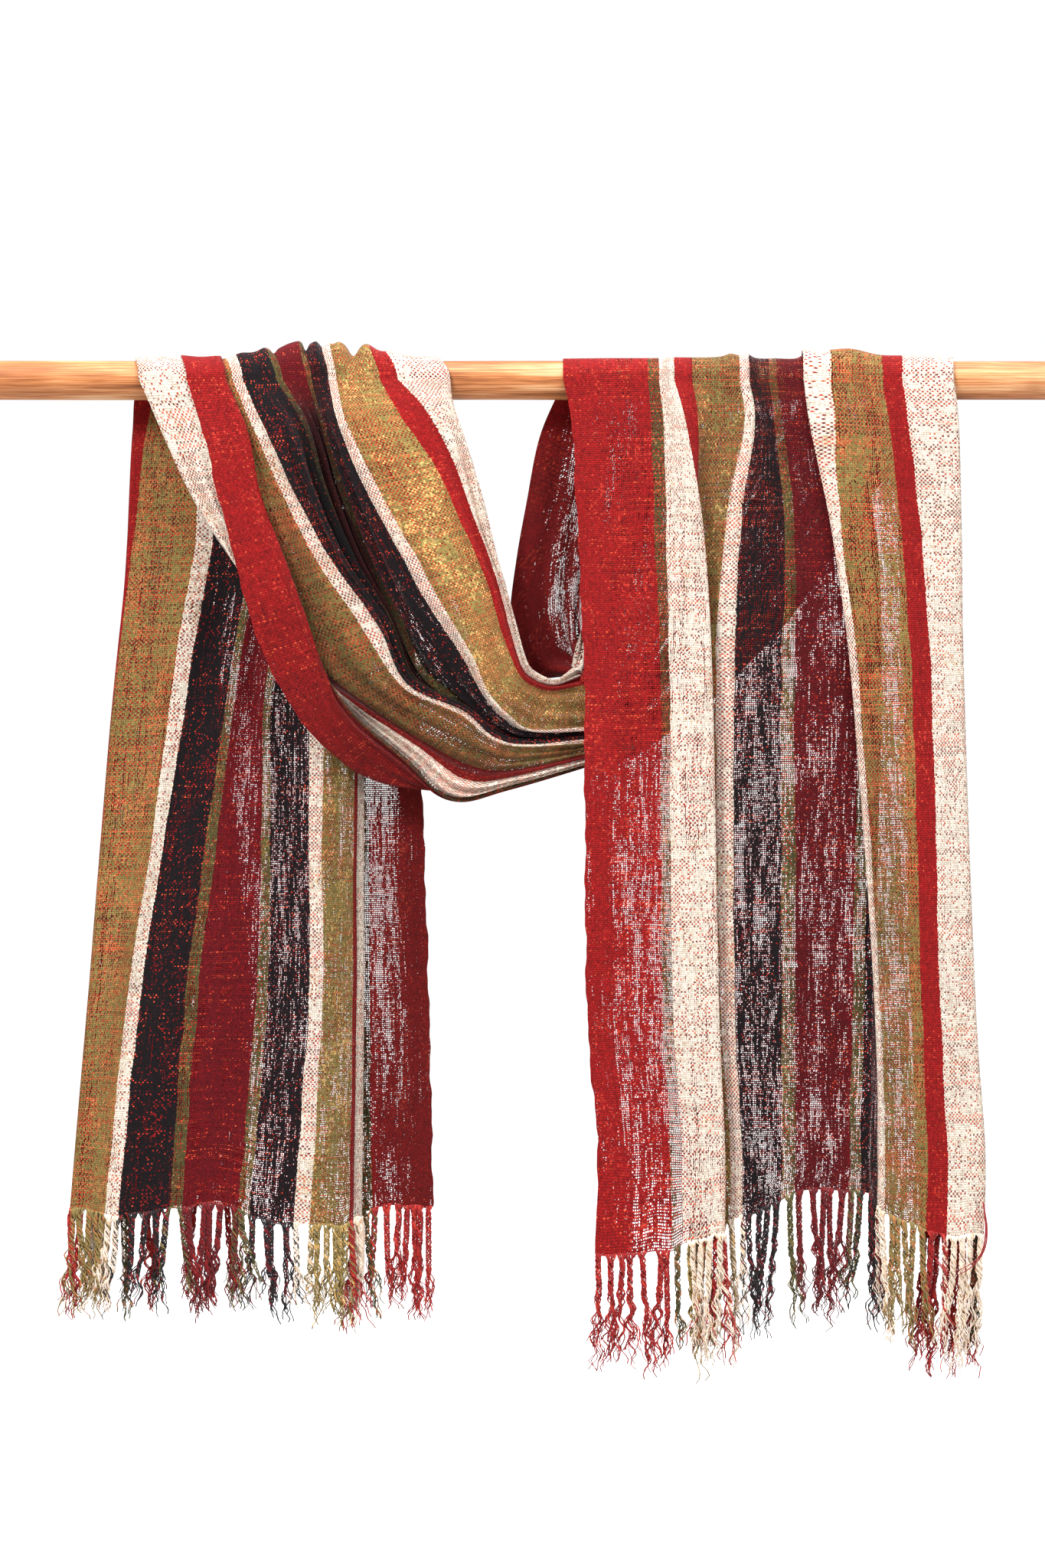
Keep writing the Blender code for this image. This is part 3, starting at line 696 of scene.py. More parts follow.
def tailLines(folds, levels, depthLevels, front):
    # Each fold line runs down through the levels to its hem. front: -1 before the pole, 1 behind.
    drops = np.array([[*levels, fold.hem] for fold in folds], dtype=float)
    depths = [np.interp(row, depthLevels, fold.depth) for row, fold in zip(drops, folds)]
    depths = np.array(depths) + poleRadius + finish["standOff"]
    depths[:, 0] = [poleRadius + fold.side for fold in folds]
    spread = np.array([fold.spread for fold in folds], dtype=float)
    points = np.stack([spread, front * depths, -drops], axis=-1)
    spans = np.diff([*levels, folds[len(folds) // 2].hem])
    counts = [max(2, math.ceil(span / finish["sectionPitch"])) for span in spans]
    return curveThrough(points, counts)


def shiftOf(folds, slant):
    # slant: distance across, and how far the crown and the back lie to the left of the front.
    return np.interp([fold.across for fold in folds], *np.transpose(slant))[:, None]


def wrapOf(folds, step, slant=None):
    # The fold lines round the pole, a section for each step in degrees, from -90 at its back over
    # its crown to 90 at its front. Their height goes from side to top with the cosine squared.
    x, side, top = (
        np.array(part, dtype=float)[:, None]
        for part in zip(*((fold.spread[0], fold.side, fold.top) for fold in folds))
    )
    angles = np.arange(-90, 90.1, step)
    turn = np.radians(angles)[None, :]
    radius = poleRadius + side + (top - side) * np.cos(turn) ** 2
    x = np.broadcast_to(x, radius.shape)
    if slant:
        x = x - shiftOf(folds, slant) * (1 - eased(angles / 90))
    return np.stack([x, -radius * np.sin(turn), radius * np.cos(turn)], axis=-1)


# Four places that the whole cloth lies between, for an amount that holds everywhere.
everywhere = (-9000, -8000, 8000, 9000)

rightTail = {
    "looseness": 1.0,
    "dots": 1.1,
    # How much looser or paler it is, and where: four places across, and four above the hem.
    "looser": (
        (0.32, (10, 26, 66, 90), (-50, -40, 330, 460)),
        (0.6, (60, 76, 121, 124), (-50, -40, 40, 120)),
        (0.8, (64, 84, 112, 122), (-50, -40, 560, 640)),
        (0.4, (374, 388, 406, 418), (-50, -40, 560, 640)),
    ),
    "paintedShadeAndTone": (
        (-0.22, (197, 206, 240, 246), everywhere),
        (-0.30, (246, 258, 300, 308), everywhere),
        (-0.24, (133, 142, 186, 194), everywhere),
        (-0.24, (366, 372, 400, 416), (-50, -40, 300, 460)),
    ),
    "bumps": ((170, 5, 2.0), (184, 3.5, 2.0), (230, 5, 3.0), (244, 4, -2.5), (268, 14, 2.0)),
    "puckers": 0.8,
    "wander": 9.0,
    "levels": (0, 39, 127, 252, 502, 627),
    "depthLevels": (39, 252, 502, 700),
    "folds": [foldLine(*row) for row in (
        (0, 1.5, 1.9, 711, (33, 40, 45, 50, 52, 61, 58), (1, 3, 6, 5)),
        (32, 1.5, 2.3, 711, (67, 72, 75, 81, 81, 90, 87), (3, 8, 2, 9)),
        (64, 1.5, 2.3, 711, (100, 103, 106, 112, 113, 119, 120), (2, 4, 7, 3)),
        (76, 1.5, 2.3, 702, (112, 116, 117, 118, 121, 128, 129), (3, 6, 9, 6)),
        (97, 1.5, 2.6, 697, (117, 123, 131, 137, 140, 147, 147), (8, 13, 15, 14)),
        (118, 1.5, 3.0, 696, (122, 132, 147, 154, 159, 164, 164), (10, 15, 17, 17)),
        (124, 1.5, 3.0, 696, (126, 135, 148, 155, 160, 165, 165), (8, 12, 13.5, 14)),
        (150, 1.5, 2.8, 700, (145, 148, 137, 127, 130, 135, 135), (4.5, 6.5, 8, 8.5)),
        (156, 1.5, 2.8, 700, (152, 153, 138, 127, 130, 135, 135), (0, 0, 1, 1)),
        (189, 1.5, 4.5, 686, (176, 179, 162, 155, 160, 168, 168), (2, 3, 4, 4)),
        (203, 1.5, 3.5, 682, (185, 189, 177, 172, 172, 178, 178), (4, 7, 8, 7)),
        (223, 1.5, 2.0, 674, (191, 196, 195, 190, 189, 192, 193), (5, 9, 4, 10)),
        (243, 1.5, 1.8, 668, (199, 203, 212, 208, 208, 208, 208), (2, 5, 9, 4)),
        (254, 1.5, 2.2, 663, (206, 211, 220, 219, 220, 220, 220), (1, 3, 7, 3)),
        (275, 1.5, 1.6, 657, (217, 223, 235, 240, 240, 239, 238), (4, 6, 3, 7)),
        (325, 1.5, 1.6, 662, (253, 268, 288, 292, 285, 282, 282), (0.5, 0, 0, 0)),
        (330, 3.1, 3.4, 664, (253, 268, 288, 292, 285, 282, 282), (4, 6.5, 7, 7)),
        (358, 3.1, 4.5, 670, (228, 233, 251, 267, 285, 288, 288), (6, 9, 10, 10)),
        (362, 4.7, 7.0, 672, (228, 233, 251, 267, 285, 288, 288), (8.5, 13, 15, 15)),
        (371, 4.7, 9.0, 677, (252, 255, 258, 272, 288, 293, 293), (9, 15, 17, 17)),
        (396, 3.1, 8.0, 686, (271, 277, 282, 293, 306, 310, 310), (6, 11, 9, 13)),
        (421, 3.1, 4.5, 691, (292, 297, 307, 315, 323, 327, 327), (6, 10, 11, 7)),
        (440, 3.1, 4.5, 696, (306, 311, 322, 331, 337, 343, 343), (4, 7, 12, 9)),
        (460, 3.1, 4.5, 698, (328, 333, 340, 345, 353, 360, 360), (6, 9, 9, 12)),
        (478, 3.1, 4.0, 696, (351, 355, 357, 359, 368, 376, 375), (4, 6, 6, 7)),
        (484, 1.5, 2.0, 696, (351, 355, 357, 359, 368, 376, 375), (1, 2, 2, 3)),
        (520, 1.5, 2.0, 698, (327, 327, 330, 332, 341, 348, 348), (0, 0, 1, 1)),
        (560, 1.5, 2.0, 700, (298, 302, 305, 310, 316, 322, 322), (0.5, 2, 0, 2)),
    )],
    "creases": [crease(*row) for row in (
        ((52, -30), (70, -330), 6, 5, 1.4),
        ((78, -180), (92, -560), -5, 6, 1.6),
        ((100, -40), (104, -420), 5, 5, 1.2),
        ((64, -420), (72, -690), 4, 6, 1.5),
        ((140, -60), (146, -400), -3, 5, 1.0),
        ((196, -200), (190, -640), 3, 6, 1.6),
        ((226, -120), (232, -500), -4, 5, 1.5),
        ((262, -170), (268, -640), 4, 6, 1.8),
        ((316, -60), (330, -420), -3, 6, 1.0),
        ((300, -380), (312, -680), 4, 5, 0.9),
    )],
}

leftTail = {
    "bumps": (),
    "looseness": 0.9,
    "dots": 0.8,
    # How much looser or darker it is, and where: four places across, and four above the hem.
    "looser": (
        (0.3, (139, 141, 200, 206), (-50, -40, 150, 300)),
        (-0.5, (-2, -1, 24, 36), everywhere),
        (0.7, (30, 50, 114, 120), (90, 180, 800, 900)),
    ),
    "paintedShadeAndTone": (
        # Painted shade in this row and the next: darker towards the selvedge at 0 across, which
        # hangs behind the swag.
        (-0.40, (-2, -1, 60, 215), everywhere),
        (-0.16, (-2, -1, 56, 68), everywhere),
        (-0.16, (133, 142, 186, 194), everywhere),
    ),
    "puckers": 0.75,
    "wander": 8.0,
    "levels": (0, 39, 127, 252, 377, 502),
    "depthLevels": (39, 127, 252, 502, 680),
    "folds": [foldLine(*row) for row in (
        (560, 4.7, 4.9, 672, (-273, -270, -260, -248, -236, -225, -229), (18, 27, 29, 29, 27)),
        (525, 4.7, 4.9, 675, (-240, -243, -252, -266, -275, -273, -273), (13, 20, 22, 23, 24)),
        (520, 3.1, 3.3, 680, (-241, -245, -257, -278, -290, -294, -298), (8, 13, 18, 20, 20)),
        (484, 3.1, 3.3, 683, (-273, -280, -290, -305, -317, -325, -335), (5, 9, 13, 15, 16)),
        (444, 3.1, 3.2, 676, (-313, -320, -323, -327, -334, -343, -357), (4, 6, 8, 9, 9)),
        (438, 1.5, 1.6, 676, (-312, -320, -325, -332, -340, -350, -365), (1, 2, 4, 5, 5)),
        (421, 1.5, 1.6, 678, (-292, -308, -320, -338, -350, -360, -375), (0, 1, 0, 2, 1)),
        (396, 1.5, 1.6, 681, (-264, -284, -292, -308, -320, -335, -353), (0.5, 4, 6, 1, 6)),
        (371, 1.5, 1.7, 683, (-234, -263, -267, -288, -304, -325, -344), (1, 1, 2, 7, 4)),
        (357, 1.5, 5.0, 683, (-227, -248, -252, -273, -293, -312, -330), (2, 4, 6, 8, 1)),
        (337, 1.5, 7.0, 683, (-213, -232, -236, -257, -277, -294, -310), (1, 5, 8, 3, 7)),
        (311, 1.5, 9.0, 678, (-197, -211, -217, -237, -254, -271, -284), (0, 0, 2, 6, 3)),
        (280, 1.5, 10.0, 672, (-184, -195, -202, -222, -231, -240, -255), (1, 5, 7, 0, 8)),
        (250, 1.5, 17.0, 683, (-173, -182, -187, -209, -210, -213, -228), (0, 0, 1, 6, 2)),
        (223, 1.5, 12.0, 688, (-164, -165, -169, -190, -192, -192, -207), (2, 5, 7, 9, 7)),
        (203, 1.5, 4.5, 692, (-158, -152, -157, -173, -175, -175, -188), (1, 2, 3, 4, 9)),
        (189, 1.8, 12.0, 692, (-151, -142, -145, -159, -163, -162, -173), (1.5, 1, 0, 3, 4)),
        (164, 3.1, 12.0, 692, (-134, -127, -130, -145, -148, -148, -155), (4, 4, 4, 6, 3)),
        (139, 3.1, 11.0, 690, (-115, -108, -116, -133, -137, -138, -140), (5, 8, 0, 0, 1)),
        (120, 3.1, 7.0, 688, (-102, -95, -109, -132, -137, -137, -140), (5, 11, 4.5, 5, 6)),
        (98, 3.1, 4.5, 686, (-79, -84, -102, -125, -127, -127, -129), (5, 13, 7, 7, 8)),
        (80, 3.1, 3.4, 684, (-58, -73, -92, -134, -141, -141, -140), (4, 15, 12, 12, 13)),
        (72, 1.5, 1.6, 680, (-59, -75, -89, -124, -131, -131, -130), (1, 12, 15, 16, 17)),
        (40, 1.5, 1.6, 676, (-95, -95, -86, -105, -107, -102, -99), (0, 1, 7, 7, 11)),
        (0, 1.5, 1.6, 676, (-135, -120, -102, -86, -81, -77, -73), (0, -8, 9, 11, 5)),
    )],
    "creases": [crease(*row) for row in (
        ((-305, -90), (-330, -420), 5, 6, 1.3),
        ((-285, -280), (-340, -640), -6, 6, 1.5),
        ((-240, -260), (-262, -640), 5, 6, 1.6),
        ((-215, -330), (-222, -660), -4, 5, 1.5),
        ((-180, -340), (-186, -650), 4, 5, 1.3),
        ((-120, -360), (-118, -660), -4, 6, 1.4),
        ((-96, -380), (-92, -640), 3, 4, 1.0),
    )],
}

# The swag's sections run from its lower left outline to its upper right one. base is the y of
# the plane that carries the folds.
swagSection = namedtuple("swagSection", "start end base")
# The fold lines of the left tail go on over the swag, in the same order. reach: how far across
# each section the line lies, in percent. forward: how far it stands in front of the section's
# plane, at every other section.
sweepLine = namedtuple("sweepLine", "reach forward")

swag = {
    "looseness": 0.6,
    "dots": 1.5,
    # How much looser or darker it is, and where: four places across, and four along. The darker
    # rows are painted shade in its folds and valleys, and the paler last row a painted highlight.
    "looser": ((1.3, (438, 448, 484, 492), (330, 370, 470, 500)),),
    "paintedShadeAndTone": (
        # Painted shadow on the red and cream stripes under the olive fold.
        (-0.60, (416, 424, 484, 492), (200, 240, 330, 375)),
        # Painted shade on the red stripe further into that fold.
        (-0.40, (416, 424, 438, 446), (330, 375, 480, 520)),
        # Painted shade in the deep valley.
        (-0.84, (238, 258, 314, 334), (62, 110, 420, 480)),
        # Painted shade on the olive stripe in the fold's shade.
        (-0.25, (366, 376, 416, 424), (50, 110, 700, 800)),
        # Painted shade on the olive beside the ribbon.
        (-0.30, (384, 400, 430, 438), (50, 110, 420, 480)),
        # Painted shade, darker down the lower ribbon.
        (-0.48, (478, 490, 600, 700), (190, 400, 800, 900)),
        # Painted highlight on the lit olive ridge.
        (0.36, (118, 150, 180, 192), (40, 90, 360, 440)),
    ),
    "puckers": 0.35,
    "wander": 6.0,
    "wrapStep": 7.5,
    # Distance across, and how far the cloth lies further left behind the crown than before it.
    "slant": (
        (0, 9), (76, 10), (130, 11), (189, 6), (210, 6), (254, 8), (317, 8), (371, 6), (440, 4),
        (560, 6),
    ),
    "spanParts": (7, 11, 13, 13, 14, 13, 12, 12, 12),
    "sections": [swagSection(*row) for row in (
        ((-288, -55), (-55, -22), -18),
        ((-263, -105), (-43, -64), -18),
        ((-228, -168), (-29, -120), -17),
        ((-207, -232), (-17, -164), -15),
        ((-172, -288), (-7, -201), -12),
        ((-120, -327), (2, -231), -8),
        ((-61, -346), (12, -241), -3),
        ((-10, -333), (28, -246), 2),
    )],
    "turn": ((86, -308), (78, -290), (56, -254), (44, -236)),  # the last, bent section
    "turnBase": 6,
    "sweeps": [sweepLine(*row) for row in (
        ((13, 8, 0, 0, 0, 0, 12, 15, 0), (8, 10, 7, -8, -12)),
        ((28.5, 23.5, 20, 21, 14, 13, 5, 1, 3), (8, 11, 8.5, -1, -7)),
        ((28.5, 23.5, 20, 21, 15.5, 14.5, 4, 0, 4), (5.5, 9, 8, 1, -6)),
        ((15, 11, 10, 16, 21, 20.5, 4, 3, 7), (5, 7, 6, 4, 0)),
        ((0, 0, 1.5, 8.5, 23.5, 28.5, 18, 10, 10), (4.5, 5, 4, 5, 5)),
        ((0, 0, 1.5, 8.5, 24.5, 30, 21.5, 13, 11), (1.5, 2, 3.5, 5, 5)),
        ((9, 10, 11, 15, 27, 32.5, 30, 19, 13), (0, -3, -3, 2, 3)),
        ((21, 21, 23, 27.5, 36.5, 45, 42, 29, 16.5), (0, -3, 0, 4, 0)),
        ((31.5, 31, 32, 42, 45.5, 58, 51.5, 41, 19.5), (2, 4, 9, 7, 4)),
        ((34.5, 35.5, 38.5, 48.5, 47, 59.5, 52.5, 42, 21), (5, 6, 9, 6, 3)),
        ((41.5, 40.5, 42.5, 50, 48.5, 60, 53, 42.5, 22.5), (8, 8, 3, -1, -2)),
        ((49.5, 46.5, 46, 51.5, 50, 60.5, 53.5, 43, 24), (3, 0, -5, -10, -8)),
        ((52, 50, 49, 53, 52, 61, 54.5, 44, 26), (-5, -10, -13, -18, -12)),
        ((53.5, 52, 51.5, 54.5, 54.5, 62, 56, 45.5, 28.5), (-5, -9, -9, -12, -8)),
        ((56, 55.5, 56.5, 61, 65.5, 66.5, 58.5, 47, 30), (3, 3, 0, -4, -4)),
        ((59, 59, 63.5, 69, 74, 72, 64.5, 52, 31.5), (7, 7, 5, 2, -1)),
        ((62, 64, 68.5, 74.5, 78.5, 76, 70, 55, 34), (7, 8, 8, 6, 1)),
        ((71, 75.5, 81.5, 85.5, 87.5, 86, 82, 75, 56), (9, 10, 9, 8, 2)),
        ((81, 87.5, 92, 95, 94.5, 95.5, 94, 93.5, 85), (7, 8, 7, 6, 0)),
        ((90, 94, 96.5, 98.5, 98.5, 98, 97.5, 97.5, 93), (7, 7, 6, 5, 0)),
        ((99, 99.5, 99.5, 100, 100, 100, 100, 100, 99), (5, 5, 4, 4, -1)),
        ((100, 100, 100, 99.5, 99.5, 99.5, 99, 99.5, 100), (2, 1, 0, 0, -2.5)),
        ((99, 99, 98.5, 98, 97.5, 97.5, 96.5, 98, 99), (-1, -2, -3, -3, -4.5)),
        ((91, 90.5, 91, 91, 91, 91, 91, 94, 92), (-4, -7, -8, -8, -7)),
        ((77.5, 78, 79, 80, 80.5, 82, 84, 88, 84), (-8, -12, -13, -11, -9)),
    )],
    # Bumps over the crown: place along the pole, width, rise.
    "bumps": (
        (-262, 12, -1.5), (-230, 6, 1.2), (-211, 5, 2.5), (-203, 2.6, -3.5), (-191, 8, 3.0),
        (-177, 2.4, -7.0), (-167, 5, 7.0), (-159, 3, 4.0), (-150, 6, 3.5), (-138, 4.5, -8.0),
        (-127, 6, 3.0), (-104, 7, 2.0),
    ),
    "gatherWave": 20.0,
    # How much of the spare cloth is taken up in small pleats: distance across, share.
    "gatherShares": (
        (0, 1.4), (80, 1.4), (100, 1.0), (125, 0.5), (160, 0.3), (215, 0.6), (245, 1.3), (340, 1.3),
        (360, 0.5), (430, 0.4), (450, 0.9), (510, 0.9), (525, 0.3), (560, 0.3),
    ),
    "creases": [crease(*row) for row in (
        ((-250, -30), (-205, -210), -8, 8, 1.2),
        ((-214, -50), (-70, -318), -26, 10, -3.5),
        ((-196, -40), (-92, -296), -16, 8, 2.4),
        ((-150, -60), (-60, -300), -12, 6, 1.4),
        ((-112, -30), (-50, -200), -8, 8, 2.0),
        ((-96, -60), (-20, -250), -12, 6, 1.5),
        ((-70, -40), (-24, -170), -5, 6, 1.2),
    )],
}

riser = {
    "looseness": 1.5,
    "dots": 1.0,
    "sections": 70,
    # Its two selvedges from the turn up to the pole, as (x, y, z).
    "firstEdge": (
        (51, 17, -247), (34, 19, -243), (10, 19, -240), (-5, 17, -216), (-10, 16, -189),
        (-5, 16, -145), (3, 16.5, -100), (14, 17.5, -45), (33, 17.8, -0.5),
    ),
    "lastEdge": (
        (86, 18, -308), (112, 21, -292), (148, 23, -266), (187, 24, -228), (223, 24, -189),
        (258, 23, -136), (290, 22, -90), (325, 19.5, -45), (350, 17.8, -0.5),
    ),
    # Its spread behind the pole: distance across, place along X.
    "spread": (
        (0, 33), (64, 100), (156, 152), (275, 217), (371, 256), (421, 292), (478, 330), (560, 352),
    ),
    "flapWidth": 98,     # the swag's turned-back edge, which the riser clears
    "flapBack": 2.0,
    "folds": 3.0,
    "foldDepth": 4.0,
    "firstPull": 11.0,   # powers: the higher, the closer to its selvedge each pull stays
    "lastPull": 1.5,
    # Painted shade: darker along its whole length but for its ends, as cloth in shade behind the
    # swag and the pole.
    "paintedShadeAndTone": -0.54,
    "paintedShadeEnds": (-20, 40, -70, 0),     # two from its lower end, and two from its upper end
    "looser": ((-0.9, (-2, -1, 8, 34), everywhere),),
    "gatherWave": 30.0,
    "gatherShares": ((0, 0.9), (280, 1.0), (560, 1.0)),
}


def tailPiece(name, tail, front, start, towardHem, wrapStep=None, slant=None):
    # Its place along the cloth is start at the pole, and grows or falls (towardHem 1 or -1) down
    # to the hem, which is uneven by sines of the place across in its last part.
    folds = tail["folds"]
    lines = tailLines(folds, tail["levels"], tail["depthLevels"], front)
    if slant:
        drop = eased(-lines[..., 2] / tail["levels"][1])
        lines[..., 0] -= shiftOf(folds, slant) * (1 - drop)
    if wrapStep:
        lines = np.concatenate([wrapOf(folds, wrapStep), lines[:, 1:]], axis=1)
    places, across = columnsOf(folds)
    grid = finishSheet(roundedAcross(lines, places), across, tail)
    nearHem = np.clip((-grid[..., 2] - finish["hemFrom"]) / finish["growing"], 0, 1)
    grid[..., 2] -= nearHem * ripples(across, finish["hemWaves"])[:, None]
    marks = start + towardHem * sectionMarks(grid)
    looser, paintedShadeAndTone = (
        [(much, side, marks[-1] - towardHem * np.array(above)) for much, side, above in tail[kind]]
        for kind in ("looser", "paintedShadeAndTone")
    )
    piece = silkPiece(name, tail, grid, across, marks, front < 0, looser, paintedShadeAndTone)
    return piece, grid, across, marks


def swagGrid(places):
    # The fold lines cross eight straight sections and a bent last one, each read at its reach.
    sweeps, sections = swag["sweeps"], swag["sections"]
    straight = len(sections)
    reach = np.array([line.reach for line in sweeps]) / 100
    forward = np.array([
        np.interp(range(straight + 1), range(0, straight + 1, 2), line.forward) for line in sweeps
    ])
    starts, ends = (
        np.array([getattr(section, side) for section in sections], dtype=float)
        for side in ("start", "end")
    )
    bases = np.array([*(section.base for section in sections), swag["turnBase"]], dtype=float)
    flat = starts * (1 - reach[:, :-1, None]) + ends * reach[:, :-1, None]
    turn = np.array(swag["turn"], dtype=float)
    marks = np.concatenate([[0], np.cumsum(np.linalg.norm(np.diff(turn, axis=0), axis=1))])
    last = [np.interp(reach[:, -1], marks / marks[-1], turn[:, axis]) for axis in (0, 1)]
    flat = np.concatenate([flat, np.stack(last, axis=-1)[:, None]], axis=1)
    points = np.stack([flat[..., 0], bases - forward, flat[..., 1]], axis=-1)
    wrap = wrapOf(leftTail["folds"], swag["wrapStep"], swag["slant"])
    lines = curveThrough(np.concatenate([wrap[:, -1:], points], axis=1), swag["spanParts"])
    return roundedAcross(np.concatenate([wrap, lines[:, 1:]], axis=1), places)


def riserGrid(bottom, across):
    # A ruled sheet from the turn to the pole's back, pulled to its two selvedges with the share
    # of the width to a power, with folds as a sine over the width.
    spans = len(riser["firstEdge"]) - 1
    parts = [math.ceil(riser["sections"] / spans)] * spans
    bottom = bottom.copy()
    bottom[:, 1] += riser["flapBack"] * np.clip(1 - across / riser["flapWidth"], 0, 1)
    edges = np.array([riser["firstEdge"], riser["lastEdge"]], dtype=float)
    edges[0, 0], edges[1, 0] = bottom[0], bottom[-1]
    edges = curveThrough(edges, parts)
    t = np.linspace(0, 1, edges.shape[1])[None, :, None]
    s = (across / across.max())[:, None, None]
    top = np.repeat(edges[:1, -1], len(across), axis=0)
    top[:, 0] = np.interp(across, *np.transpose(riser["spread"]))
    grid = (1 - t) * bottom[:, None] + t * top[:, None]
    firstPull = edges[:1] - (1 - t) * bottom[0] - t * top[0]
    lastPull = edges[1:] - (1 - t) * bottom[-1] - t * top[-1]
    grid = grid + (1 - s) ** riser["firstPull"] * firstPull + s ** riser["lastPull"] * lastPull
    wave = riser["foldDepth"] * np.sin(2 * np.pi * riser["folds"] * s)
    grid[..., 1] += (wave * 6 * t * (1 - t) ** 2)[..., 0]
    return grid


leftPiece, leftGrid, leftAcross, leftMarks = tailPiece(
    "silkLeftTail", leftTail, front=1, start=0.0, towardHem=-1, slant=swag["slant"],
)
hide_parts("left_tail")

swagPlaces, swagAcross = columnsOf(leftTail["folds"])
swagPoints = finishSheet(swagGrid(swagPlaces), swagAcross, swag)
swagMarks = sectionMarks(swagPoints)
swagPoints = gathered(swagPoints, swagAcross, swagMarks, swag)
swagPiece = silkPiece(
    "silkSwag", swag, swagPoints, swagAcross, swagMarks, True, swag["looser"], swag["paintedShadeAndTone"],
)
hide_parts("swag")

riserAcross = swagAcross[::-1]
riserPoints = riserGrid(swagPoints[::-1, -1], riserAcross)
riserMarks = swagMarks[-1] + sectionMarks(riserPoints)
riserPoints = gathered(riserPoints, riserAcross, riserMarks, riser)
riserEnds = np.repeat(riserMarks[[0, -1]], 2)
# The riser's painted shade, fading out at both ends.
riserPaintedShade = (riser["paintedShadeAndTone"], everywhere, riserEnds + riser["paintedShadeEnds"])
riserPiece = silkPiece(
    "silkRiser", riser, riserPoints, riserAcross, riserMarks, False, riser["looser"], (riserPaintedShade,),
)
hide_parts("riser")

rightPiece, rightGrid, rightAcross, rightMarks = tailPiece(
    "silkRightTail", rightTail, front=-1, start=riserMarks[-1], towardHem=1,
    wrapStep=swag["wrapStep"],
)
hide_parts("right_tail")


# Fringe

fringe = {
    "spacing": 9.8,        # between tassels
    "spacingChance": 3.2,
    "rootSpread": 5.2,     # half the width of cloth that a tassel gathers
    "rootRise": 1.5,       # how far above the hem the yarns begin
    "gather": 8.0,         # how far below it they are gathered
    "dropChance": 0.16,    # how much the tassels differ in length
    "lengths": (0.74, 1.06),
    "thickness": (0.8, 1.25),
    "twistEnd": (14.0, 46.0),
    "twistRadius": 2.2,
    "twistTurn": 0.42,     # radians for each millimetre
    "plies": 3,            # strands that a tassel parts into
    "flatness": 0.45,      # share of their spread that they have to the front and back
    "plyRadius": 1.3,
    "yarnRadius": 0.8,
    "tipRadius": 0.55,
    "points": 26,
    "fan": 4.0,
    "stray": 2.2,
    "curl": (0.8, 3.0),
    "curlLength": (16.0, 38.0),
    "sway": 9.0,
}


def tubes(paths, radii, spots):
    # Three-sided tubes along paths (yarns, points, xyz), with a closed end at both ends.
    yarns, points = paths.shape[:2]
    angles = np.arange(3) * 2 * np.pi / 3
    circle = np.stack([np.cos(angles), np.sin(angles), np.zeros(3)], axis=-1)
    corners = paths[:, :, None] + radii[..., None, None] * circle
    base = cornersBut(yarns, points) * 3
    sides = [np.stack([base + a, base + b, base + b + 3, base + a + 3], axis=1)
             for a, b in ((0, 1), (1, 2), (2, 0))]
    first = np.arange(yarns) * points * 3
    last = first + (points - 1) * 3
    starts = np.stack([first + 2, first + 1, first], axis=1)
    ends = np.stack([last, last + 1, last + 2], axis=1)
    flatPlaces = np.repeat(spots.reshape(-1, 2), 3, axis=0)
    faces = [part[:, ::-1] for part in (*sides, starts, ends)]
    return corners.reshape(-1, 3), faces, flatPlaces


